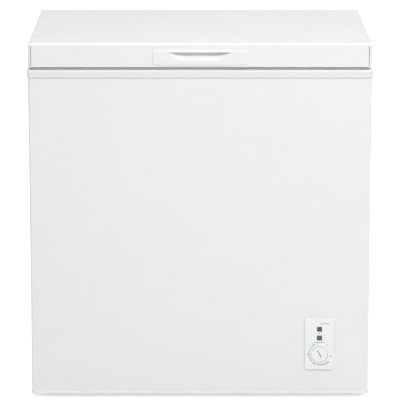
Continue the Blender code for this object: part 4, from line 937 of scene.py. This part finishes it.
def control_panel():
    """The panel's moulding with its dial ring and lamp windows."""
    face = PANEL_LOW.y + RING_PROUD
    half_x, _, half_z = halves(PANEL_LOW, PANEL_HIGH)
    middle = across(PANEL_LOW, PANEL_HIGH, "Y")
    through = (PANEL_LOW.y - 0.01, PANEL_HIGH.y + 0.01)
    foot = WRAP_LOW.y - GAP
    profile = [(0.0009, foot), (0.0009, foot - 0.0008), (0.0, foot - 0.0012)]
    profile += arc((PANEL_EDGE, face + PANEL_EDGE), PANEL_EDGE, 180, 270, 5)
    rings = []
    for inset, y in profile:
        outline = round_rectangle(half_x - inset, half_z - inset, PANEL_CORNER - inset / 2)
        rings.append(stood(outline, y, "Y", middle))
    block_x, block_z = half_x - 0.0085, half_z - 0.0125
    back = block((middle[0] - block_x, middle[0] + block_x), (face + 0.001, PANEL_HIGH.y),
                 (middle[1] - block_z, middle[1] + block_z))
    well_radius = DIAL_RADIUS + WELL_ROOM
    crest, half_ring = (RING_RADIUS + well_radius) / 2, (RING_RADIUS - well_radius) / 2
    ring = [(RING_RADIUS, face + 0.001)]
    ring += [(crest + half_ring * math.cos(t), face - RING_PROUD * math.sin(t) ** 0.7)
             for t in (math.radians(a) for a in range(0, 91, 15))]
    ring.append((crest - half_ring, face - RING_PROUD * 0.9))
    raised = turned(ring, DIAL_AT, "Y")
    well = rod(well_radius, through[0], KNOB_HIGH.y + GAP, DIAL_AT, "Y", ROUND_SIDES)
    bore = rod(SHAFT_BORE, *through, DIAL_AT, "Y")
    windows = []
    for name in LAMPS:
        low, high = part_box(name)
        lamp_x, _, lamp_z = halves(low, high)
        window = round_rectangle(lamp_x + GAP, lamp_z + GAP, 0.0012, 4)
        windows.append(prism(window, *through, "Y", across(low, high, "Y")))
    moulding = cut(joined(loft(rings), back, raised), well, bore, *windows)
    piece("control_panel_moulding", moulding, "panel_plastic", "cabinet", ["control_panel"], sharp=30)


def indicator_lamps():
    """Square lenses with a softly domed face."""
    for name in LAMPS:
        low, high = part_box(name)
        half = (high.x - low.x) / 2
        at = across(low, high, "Y")
        profile = [(0.0, high.y), (0.0, low.y + 0.0007), (0.0002, low.y + 0.0003), (0.0006, low.y + 0.0001),
                   (0.0016, low.y)]
        rings = [stood(round_rectangle(half - inset, half - inset, 0.0011, 4), y, "Y", at)
                 for inset, y in profile]
        piece(f"{name}_lens", loft(rings), "green_lens", "cabinet", [name])


def dial():
    """A flush dial with a coin slot, a shallow groove round it and a pointer notch."""
    radius, face, back = DIAL_RADIUS, KNOB_LOW.y, KNOB_HIGH.y
    over = face - 0.001
    profile = [(radius, back), (radius, face + 0.0008)]
    profile += [(radius - 0.0008 + r, y) for r, y in arc((0.0, face + 0.0008), 0.0008, 0, -90, 5)]
    profile += [(radius - 0.0028, face), (radius - 0.0032, face + 0.0003), (radius - 0.0036, face + 0.0003),
                (radius - 0.0040, face)]
    disc = turned(profile, DIAL_AT, "Y", 96)
    floor = face + SLOT_DEPTH
    outline = round_rectangle(SLOT_HALF_WIDTH, SLOT_HALF, 0.0016, 6)
    slot = prism(rotated(outline, SLOT_TURN), over, floor, "Y", DIAL_AT)
    socket = rod(SHAFT_BORE, face + 0.0022, back + 0.01, DIAL_AT, "Y")
    aim = Vector((math.cos(SLOT_TURN), math.sin(SLOT_TURN)))
    notch = Vector(DIAL_AT) + (radius - 0.0012) * Vector((-aim.y, aim.x))
    pointer = rod(0.0007, over, face + 0.0006, notch, "Y", 16)
    piece("thermostat_dial_disc", cut(disc, slot, socket, pointer), "panel_plastic", "thermostat_dial",
          ["thermostat_knob"], sharp=30)
    # A dark strip on the slot's floor, along its upper right wall, is painted shade of that wall.
    line = rotated(round_rectangle(0.0007, SLOT_HALF - 0.0008, 0.0004, 3), SLOT_TURN)
    shadow = prism(line, floor - 2 * INK, floor - INK / 2, "Y", Vector(DIAL_AT) + 0.0007 * aim)
    piece("dial_slot_painted_shade", shadow, None, "thermostat_dial", material=DARK_INK_AND_PAINTED_SHADE)


def panel_printing():
    """The dial's scale: ticks, numbers and a line that swells away from the dial as cold grows, with a thin
    arc that paints the dial ring's shadow.
    """
    face = PANEL_LOW.y + RING_PROUD
    x, z = DIAL_AT

    def patch(outline, middle=(0.0, 0.0)):
        return prism(outline, face - INK, face + INK, "Y", middle)

    def bar(half_width, half_height, middle):
        return patch(round_rectangle(half_width, half_height, 0.0004, 3), middle)

    def polar(radius, degrees):
        return (x + radius * math.cos(math.radians(degrees)), z + radius * math.sin(math.radians(degrees)))

    shapes = []
    for degrees, length, width in ((180, 0.0026, 0.0015), (121, 0.0028, 0.0020), (52, 0.0026, 0.0015),
                                   (-10, 0.0026, 0.0015), (150, 0.0012, 0.0008), (87, 0.0012, 0.0008),
                                   (21, 0.0012, 0.0008), (240, 0.0030, 0.0022)):
        start = Vector(polar(SCALE_RADIUS, degrees))
        end = Vector(polar(SCALE_RADIUS + length, degrees))
        aside = Vector((start.y - end.y, end.x - start.x)).normalized() * width / 2
        shapes.append(patch([start - aside, end - aside, end + aside, start + aside]))
    steps = 24
    # The first line is the printed cold scale. The second, thin and even, runs just outside the ring on its
    # upper left, left and lower left, and is a painted shadow of the ring.
    lines = ((234, 88, 0.0042, 0.0003, 0.0008), (92, 132, 0.0, 0.00025, 0.00035))
    for start, turn, swell, thin, thick in lines:
        inner, outer = [], []
        for i in range(steps + 1):
            t = i / steps
            radius = SCALE_RADIUS + 0.0002 + swell * t**1.4
            half = thin + (thick - thin) * t
            inner.append(polar(radius - half, start + turn * t))
            outer.append(polar(radius + half, start + turn * t))
        for i in range(steps):
            shapes.append(patch([inner[i], inner[i + 1], outer[i + 1], outer[i]]))
    for degrees, figure in ((180, "1"), (121, "2"), (52, "3"), (-10, "4")):
        shapes.append(printed_figure(figure, polar(0.0300, degrees), face))
    shapes.append(bar(0.0122, 0.0005, (x, 0.13665)))
    shapes.append(bar(0.0022, 0.0006, (x, 0.15840)))
    piece("panel_scale_print_and_ring_shadow", gathered(shapes), None, "cabinet", material=DARK_INK_AND_PAINTED_SHADE)
    accent = bar(0.0105, 0.0006, (x + 0.0125, 0.1826))
    piece("panel_accent_print", accent, None, "cabinet", material=GREEN_INK)


def printed_figure(figure, middle, face):
    """A number of the dial's scale, as a thin solid that faces the front."""
    text = bpy.data.curves.new("figure", "FONT")
    text.body = figure
    text.size = 0.0052
    text.extrude = INK
    text.resolution_u = 4
    text.align_x = "CENTER"
    text.align_y = "CENTER"
    holder = bpy.data.objects.new("figure", text)
    bpy.context.scene.collection.objects.link(holder)
    bpy.context.view_layer.update()
    shape = bmesh.new()
    shape.from_mesh(holder.evaluated_get(bpy.context.evaluated_depsgraph_get()).to_mesh())
    bpy.data.objects.remove(holder)
    bpy.data.curves.remove(text)
    place = Matrix.Translation((middle[0], face, middle[1])) @ Matrix.Rotation(math.radians(90), 4, "X")
    return moved(shape, place)


def storage_basket():
    """A coated wire basket: two rims, a grid of U-shaped wires and end rails for the ledge."""
    middle = Vector(((BASKET_LOW.x + BASKET_HIGH.x) / 2, MID_Y))
    half_x = (BASKET_HIGH.x - BASKET_LOW.x) / 2 - WIRE
    reach = (BASKET_HIGH.y - BASKET_LOW.y) / 2 - WIRE
    half_y = reach - 0.032 + WIRE
    low_z = BASKET_LOW.z + THIN_WIRE
    top_z = BASKET_HIGH.z - 0.003 + WIRE + GAP

    def hoop(z, radius):
        inward = BASKET_TAPER * (top_z - z) / (top_z - low_z)
        ring = round_rectangle(half_x - inward, half_y - inward, 0.018, 6)
        return wire(stood(ring, z, "Z", middle), radius, closed=True)

    def u_wires(count, wide, spread, lift, swap):
        """U-shaped wires side by side; swap turns those that run along X to run along Y."""
        shapes = []
        for i in range(count):
            high = (spread - BASKET_CORNER) * (2 * i / (count - 1) - 1)
            low = high * (spread - BASKET_CORNER - BASKET_TAPER) / spread
            top_end, low_end = wide - THIN_WIRE, wide - BASKET_TAPER - THIN_WIRE
            spots = [(-top_end, high, top_z), (-low_end, low, low_z + lift),
                     (low_end, low, low_z + lift), (top_end, high, top_z)]
            route = [(middle.x + (b if swap else a), middle.y + (a if swap else b), z) for a, b, z in spots]
            shapes.append(wire(bent(route, 0.012), THIN_WIRE, 8))
        return shapes

    shapes = [hoop(top_z, WIRE), hoop(top_z - 0.020, THIN_WIRE * 1.1), hoop(top_z - 0.060, THIN_WIRE),
              hoop(top_z - 0.105, THIN_WIRE)]
    shapes += u_wires(BASKET_LONG_WIRES, half_x, half_y, 0.0, False)
    shapes += u_wires(BASKET_CROSS_WIRES, half_y, half_x, 2 * THIN_WIRE, True)
    rail_x, rail_in = half_x - 0.022, half_y - 0.004
    for sign in (-1, 1):
        rail = [(middle.x + x, middle.y + sign * y, top_z)
                for x, y in ((-rail_x, rail_in), (-rail_x, reach), (rail_x, reach), (rail_x, rail_in))]
        shapes.append(wire(bent(rail, 0.010), WIRE))
    piece("storage_basket_wires", gathered(shapes), "white_wire", "basket", ["storage_basket"])


def wrap_hem():
    """The folded hem along the foot of the cabinet's sheet."""
    low = WRAP_LOW.z
    section = [(GAP, low + 0.0001), (0.0010, low + 0.0001), (0.0014, low + 0.0005), (0.0014, low + 0.0030),
               (0.0012, low + 0.0035), (GAP, low + 0.0048)]
    half_y = (WRAP_HIGH.y - WRAP_LOW.y) / 2
    rings = [level(WRAP_HIGH.x + out, half_y + out, WRAP_CORNER + out, z) for out, z in section]
    piece("cabinet_wrap_hem", loft(rings, hoop=True), "white_steel", "cabinet")


def feet():
    """Moulded feet with a grip ring underneath."""
    for name in ("foot_front_left", "foot_front_right", "foot_rear_left", "foot_rear_right"):
        low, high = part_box(name)
        radius, base, top = (high.x - low.x) / 2, low.z, high.z
        profile = [(0.006, base + 0.0010), (0.0075, base), (radius - 0.0050, base),
                   (radius - 0.0045, base + 0.0006), (radius - 0.0035, base + 0.0006),
                   (radius - 0.0030, base)]
        profile += [(radius - 0.0012 + r, z) for r, z in arc((0.0, base + 0.0012), 0.0012, -90, 0, 4)]
        profile += [(radius, top - 0.0034), (radius - 0.0008, top - 0.0030),
                    (radius - 0.0008, top - 0.0020), (radius, top - 0.0016), (radius, top - 0.0004),
                    (radius - 0.0004, top)]
        foot = turned(profile, across(low, high, "Z"), "Z")
        piece(f"{name}_moulded", foot, "black_rubber", "cabinet", [name])


def drain_plug():
    """The tub's plug: a ribbed stem, a flange and a pull tab."""
    at = across(PLUG_LOW, PLUG_HIGH, "Z")
    floor = LINER_LOW.z + LINER_SHEET
    flange = (PLUG_HIGH.x - PLUG_LOW.x) / 2
    tab_radius = 0.0085
    stem = [(0.0070, PLUG_LOW.z), (0.0078, PLUG_LOW.z + 0.0010), (0.0078, floor - 0.0030),
            (0.0072, floor - 0.0026), (0.0072, floor - 0.0014), (0.0080, floor - 0.0010),
            (0.0080, floor + GAP)]
    head = [(flange - 0.0006, floor + GAP), (flange, floor + 0.0009), (flange, floor + 0.0020),
            (flange - 0.0010, floor + 0.0030), (0.0110, floor + 0.0036), (0.0100, floor + 0.0040)]
    tab = prism(arc((0.0, 0.0), tab_radius, 0, 180, 16), at[1] - 0.0014, at[1] + 0.0014, "Y",
                (at[0], floor + 0.0040))
    spread = (PLUG_HIGH.z - floor - 0.0040) / tab_radius
    for vert in tab.verts:
        vert.co.z = floor + 0.0038 + (vert.co.z - floor - 0.0040) * spread
    plug = joined(turned(stem + head, at, "Z"), tab)
    piece("drain_plug_moulded", plug, "frame_plastic", "drain_plug", ["drain_plug"], sharp=30)


def drain_cap():
    """The ribbed cap on the cabinet's side."""
    centre = Vector(across(CAP_LOW, CAP_HIGH, "X"))
    radius = (CAP_HIGH.y - CAP_LOW.y) / 2
    front, wall = CAP_LOW.x, WRAP_LOW.x - GAP
    dome = [(0.0078, CAP_HIGH.x), (0.0078, wall + 0.0012), (0.0078, wall), (radius - 0.0004, wall),
            (radius, wall - 0.0005), (radius - 0.0006, front + 0.0004), (radius - 0.0016, front),
            (0.0070, front), (0.0066, front + 0.0005), (0.0050, front + 0.0005), (0.0046, front)]
    grips = []
    count = 24
    for i in range(count):
        turn = math.tau * i / count
        spot = centre + (radius + 0.0002) * Vector((math.cos(turn), math.sin(turn)))
        grips.append(rod(0.0007, front - 0.002, wall + 0.002, spot, "X", 12))
    ribbed = cut(turned(dome, centre, "X"), gathered(grips))
    piece("drain_cap_ribbed", ribbed, "white_plastic", "drain_cap", ["drain_cap"], sharp=30)


TO_BACK = Matrix.Rotation(math.radians(-90), 4, "X")


def screw(radius):
    """A pan-head screw that stands on +Z from 0, with a cross recess."""
    rise = radius * 0.55
    dome = [(radius, -0.0002), (radius, rise * 0.25)]
    dome += [(radius * math.cos(t), rise * (0.25 + 0.75 * math.sin(t)))
             for t in (math.radians(a) for a in range(15, 76, 15))]
    dome.append((radius * 0.12, rise))
    arm, wide = radius * 0.55, radius * 0.13
    deep = (rise * 0.45, rise * 1.2)
    return cut(turned(dome, (0.0, 0.0), "Z", 24), block((-arm, arm), (-wide, wide), deep),
               block((-wide, wide), (-arm, arm), deep))


def screws(name, spots, radius, body):
    """Screws whose heads look to the back, each turned a little further than the last."""
    shapes = []
    for i, spot in enumerate(spots):
        twist = Matrix.Rotation(math.radians(37 * i + 12), 4, "Z")
        shapes.append(moved(screw(radius), Matrix.Translation(spot) @ TO_BACK @ twist))
    return piece(name, gathered(shapes), "zinc_steel", body, sharp=30)


def fasteners():
    """Screws of the hinges, the grille and the back panel."""
    for side in ("left", "right"):
        low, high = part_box(f"hinge_leaf_{side}")
        mid_x = (low.x + high.x) / 2
        face = LID_HIGH.y + GAP + HINGE_SHEET
        spots = [(mid_x + dx, face, z) for dx in (-0.023, 0.023) for z in (high.z - 0.032, high.z - 0.008)]
        screws(f"hinge_leaf_screws_{side}", spots, 0.0036, "lid")
        low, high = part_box(f"hinge_base_{side}")
        face = low.y + HINGE_SHEET
        spots = [(mid_x + dx, face, low.z + up) for dx in (-0.026, 0.026) for up in (0.022, 0.108)]
        screws(f"hinge_base_screws_{side}", spots, 0.0034, "cabinet")
    inset = 0.0052
    xs = (GRILLE_LOW.x + inset, GRILLE_HIGH.x - inset)
    zs = (GRILLE_LOW.z + inset, (GRILLE_LOW.z + GRILLE_HIGH.z) / 2, GRILLE_HIGH.z - inset)
    screws("rear_grille_screws", [(x, GRILLE_HIGH.y, z) for x in xs for z in zs], 0.0030, "cabinet")
    side_x = WRAP_HIGH.x - 0.0075
    spots = [(-side_x, WRAP_HIGH.y, z) for z in (0.06, 0.30, 0.52, 0.74)]
    spots += [(side_x, WRAP_HIGH.y, z) for z in (0.30, 0.52, 0.74)]
    screws("back_panel_screws", spots, 0.0028, "cabinet")


def back_panel():
    """The galvanised back with pressed stiffening beads and its hole for the compartment."""
    low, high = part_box("back_panel")
    sheet = block((low.x, high.x), (low.y, high.y), (low.z, high.z))
    beads = []
    for z, half in BEAD_ROWS:
        profile = [(BEAD_HALF * math.sin(t), -half - BEAD_HALF * math.cos(t)) for t in BEAD_TURNS]
        profile += [(BEAD_HALF * math.cos(t), half + BEAD_HALF * math.sin(t)) for t in BEAD_TURNS]
        bar = turned(profile, (0.0, 0.0), "X", 24)
        for vert in bar.verts:
            vert.co.y = high.y - 0.0002 + vert.co.y * BEAD_PROUD / BEAD_HALF
            vert.co.z += z
        beads.append(bar)
    margin_x, margin_z = 0.009, 0.010
    hole = block((GRILLE_LOW.x + margin_x, GRILLE_HIGH.x - margin_x), (low.y - 0.01, high.y + 0.01),
                 (GRILLE_LOW.z + margin_z, GRILLE_HIGH.z - margin_z))
    behind = block((low.x - 0.01, high.x + 0.01), (low.y - 0.05, low.y), (low.z, high.z))
    pressed = cut(joined(sheet, *beads), behind, hole)
    piece("back_panel_pressed", pressed, "galvanised", "cabinet", ["back_panel"], sharp=30)


def rear_grille():
    """The grille pressed into louvres, with its cord inlet left open."""
    half_x, _, half_z = halves(GRILLE_LOW, GRILLE_HIGH)
    centre = across(GRILLE_LOW, GRILLE_HIGH, "Y")
    middle, face = centre[0], GRILLE_HIGH.y
    sections = ((0.0003, GRILLE_LOW.y), (0.0, GRILLE_LOW.y + 0.0009), (0.0, face - 0.0002), (0.0003, face))
    plate = loft([stood(round_rectangle(half_x - inset, half_z - inset, 0.006, 6), y, "Y", centre)
                  for inset, y in sections])
    low, high = GRILLE_LOW.z + 0.085, GRILLE_HIGH.z - 0.030
    bridge, border = 0.006, 0.027
    steps = 8
    hoods, slots = [], []
    for row in range(GRILLE_ROWS):
        z = low + (high - low) * row / (GRILLE_ROWS - 1)
        for start, end in ((middle - half_x + border, middle - bridge),
                           (middle + bridge, middle + half_x - border)):
            rings = []
            for i in range(steps + 1):
                t = i / steps
                proud = HOOD_PROUD * math.sqrt(max(1 - (2 * t - 1) ** 8, 0.0001))
                bulge = [(face + proud * math.cos(a) ** 0.8, z - 0.003 + 0.0075 * math.sin(a))
                         for a in (math.radians(d) for d in (0, 20, 40, 60, 80, 89))]
                bulge = [(face - 0.0008, z - 0.003), *bulge, (face - 0.0008, z + 0.0045)]
                rings.append([(start + (end - start) * t, *point) for point in bulge])
            hoods.append(loft(rings))
            slots.append(block((start + 0.003, end - 0.003), (GRILLE_LOW.y - 0.01, face + 0.0025),
                               (z - 0.0045, z + 0.0005)))
    inlet = across(*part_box("cord_inlet_grommet"), "Y")
    hole = rod(0.0088, GRILLE_LOW.y - 0.01, face + 0.01, inlet, "Y", 48)
    pressed = cut(joined(plate, gathered(hoods)), gathered(slots), hole)
    piece("rear_grille_louvred", pressed, "galvanised", "cabinet", ["rear_grille"], sharp=30)


# ---------------------------------------------------------------- solids that keep their shape
def smooth_shading(angle):
    """Geometry nodes that shade faces smooth up to an angle, and leave every point where it is."""
    tree = bpy.data.node_groups.new("Smooth shading", "GeometryNodeTree")
    tree.interface.new_socket("Geometry", in_out="INPUT", socket_type="NodeSocketGeometry")
    tree.interface.new_socket("Geometry", in_out="OUTPUT", socket_type="NodeSocketGeometry")
    given, result = tree.nodes.new("NodeGroupInput"), tree.nodes.new("NodeGroupOutput")
    turn = add(tree, "GeometryNodeInputMeshEdgeAngle").outputs["Unsigned Angle"]
    limit = {0: turn, 1: math.radians(angle)}
    steep = add(tree, "FunctionNodeCompare", {"operation": "GREATER_THAN"}, limit)
    faces = add(tree, "GeometryNodeSetShadeSmooth", {"domain": "FACE"}, {"Geometry": given.outputs[0]})
    faces.inputs["Shade Smooth"].default_value = True
    edges = add(tree, "GeometryNodeSetShadeSmooth", {"domain": "EDGE"},
                {"Geometry": faces.outputs[0], "Selection": steep.outputs[0]})
    edges.inputs["Shade Smooth"].default_value = False
    tree.links.new(edges.outputs[0], result.inputs[0])
    return tree


SMOOTH_SHADING = smooth_shading(SHARP)
ROUNDED_EDGES = {
    "galvanised": 0.0002, "zinc_steel": 0.0004, "black_steel": 0.0008, "black_plastic": 0.0006,
    "black_rubber": 0.0004, "foam": 0.0006, "copper": 0.0, "dark_steel": 0.0, "pipe_aluminium": 0.0,
    "white_steel": 0.0, "white_plastic": 0.0, "frame_plastic": 0.0004, "panel_plastic": 0.0004,
}


def dress_solids():
    """Finishes, softened edges and smooth shading for the solids that stay in sight."""
    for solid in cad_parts.values():
        if solid.hide_render:
            continue
        slot = solid.data.materials[0].name
        solid.material_slots[0].link = "OBJECT"
        solid.material_slots[0].material = FINISHES[slot]
        weld = solid.modifiers.new("close seams", "WELD")
        weld.merge_threshold = 0.00001
        width = ROUNDED_EDGES.get(slot, 0.0)
        if width:
            flat = solid.modifiers.new("plain faces", "DECIMATE")
            flat.decimate_type = "DISSOLVE"
            flat.angle_limit = math.radians(0.5)
            soft = solid.modifiers.new("soft edges", "BEVEL")
            soft.width = width
            soft.segments = 2
            soft.limit_method = "ANGLE"
            soft.angle_limit = math.radians(SHARP)
        shading = solid.modifiers.new("smooth shading", "NODES")
        shading.node_group = SMOOTH_SHADING
        even = solid.modifiers.new("even shading", "WEIGHTED_NORMAL")
        even.keep_sharp = True


# ---------------------------------------------------------------- stage, light and camera
FLOOR_GLOW = 0.62            # added for the eye only, so that the floor fades into the surround
ROOM_LIGHT = 0.56
ROOM_SEEN = 1.02


def stage():
    """A plain pale floor that fades into a white surround."""
    reach = 40.0
    floor = bpy.data.meshes.new("floor")
    corners = [(-reach, -reach, 0), (reach, -reach, 0), (reach, reach, 0), (-reach, reach, 0)]
    floor.from_pydata(corners, [], [(0, 1, 2, 3)])
    made = bpy.data.objects.new("floor", floor)
    bpy.context.scene.collection.objects.link(made)
    made.location.z = -GAP
    pale = bpy.data.materials.new("pale floor")
    pale.use_nodes = True
    shader = pale.node_tree.nodes["Principled BSDF"]
    shader.inputs["Base Color"].default_value = (0.82, 0.82, 0.82, 1)
    shader.inputs["Roughness"].default_value = 0.9
    shader.inputs["Specular IOR Level"].default_value = 0.0
    shader.inputs["Emission Color"].default_value = (1, 1, 1, 1)
    eye = add(pale.node_tree, "ShaderNodeLightPath").outputs["Is Camera Ray"]
    glow = times(pale.node_tree, eye, FLOOR_GLOW)
    pale.node_tree.links.new(glow, shader.inputs["Emission Strength"])
    floor.materials.append(pale)


def surround():
    """White all round for the eye, and a softer white as light."""
    world = bpy.data.worlds.new("studio")
    bpy.context.scene.world = world
    world.use_nodes = True
    tree = world.node_tree
    light = tree.nodes["Background"]
    light.inputs["Color"].default_value = (1, 1, 1, 1)
    light.inputs["Strength"].default_value = ROOM_LIGHT
    seen = add(tree, "ShaderNodeBackground", None, {"Color": (1, 1, 1, 1), "Strength": ROOM_SEEN})
    eye = add(tree, "ShaderNodeLightPath").outputs["Is Camera Ray"]
    mix = add(tree, "ShaderNodeMixShader", None, {0: eye})
    tree.links.new(light.outputs[0], mix.inputs[1])
    tree.links.new(seen.outputs[0], mix.inputs[2])
    tree.links.new(mix.outputs[0], tree.nodes["World Output"].inputs["Surface"])


def softbox(name, place, aim, width, height, power):
    data = bpy.data.lights.new(name, "AREA")
    data.shape = "RECTANGLE"
    data.size = width
    data.size_y = height
    data.energy = power
    made = bpy.data.objects.new(name, data)
    bpy.context.scene.collection.objects.link(made)
    made.location = place
    made.rotation_euler = (Vector(aim) - Vector(place)).to_track_quat("-Z", "Y").to_euler()


def lights():
    softbox("key from the upper right", (1.5, -2.2, 2.3), (0, 0, 0.8), 1.2, 1.2, 9)
    softbox("overhead", (0.0, -0.2, 3.0), (0, 0, 0.8), 3.0, 1.2, 14)
    softbox("strip over the front", (0.5, -2.2, 2.9), (0, -0.2, 0.8), 3.2, 0.5, 44)
    softbox("behind", (2.7, 2.7, 2.6), (0, 0, 0.5), 2.2, 1.8, 36)


def camera():
    """A long lens in front of the freezer, a little above its lid and tilted down."""
    distance, above_lid, tilt = 6.0, 0.948, 11.87
    data = bpy.data.cameras.new("camera")
    data.sensor_width = 36
    data.lens = 235.8
    data.shift_y = -0.06
    data.clip_end = 200
    made = bpy.data.objects.new("camera", data)
    bpy.context.scene.collection.objects.link(made)
    made.location = (0, CAD_BOUNDS[0].y - distance, LID_HIGH.z + above_lid)
    made.rotation_euler = (math.radians(90 - tilt), 0, 0)
    bpy.context.scene.camera = made


# ---------------------------------------------------------------- the freezer
lid_skin()
lid_handle()
lid_gasket()
lid_inner_panel()
top_frame()
inner_liner()
control_panel()
indicator_lamps()
dial()
panel_printing()
storage_basket()
wrap_hem()
feet()
drain_plug()
drain_cap()
back_panel()
rear_grille()
fasteners()
dress_solids()
stage()
surround()
lights()
camera()
bpy.context.scene.view_settings.view_transform = "Standard"
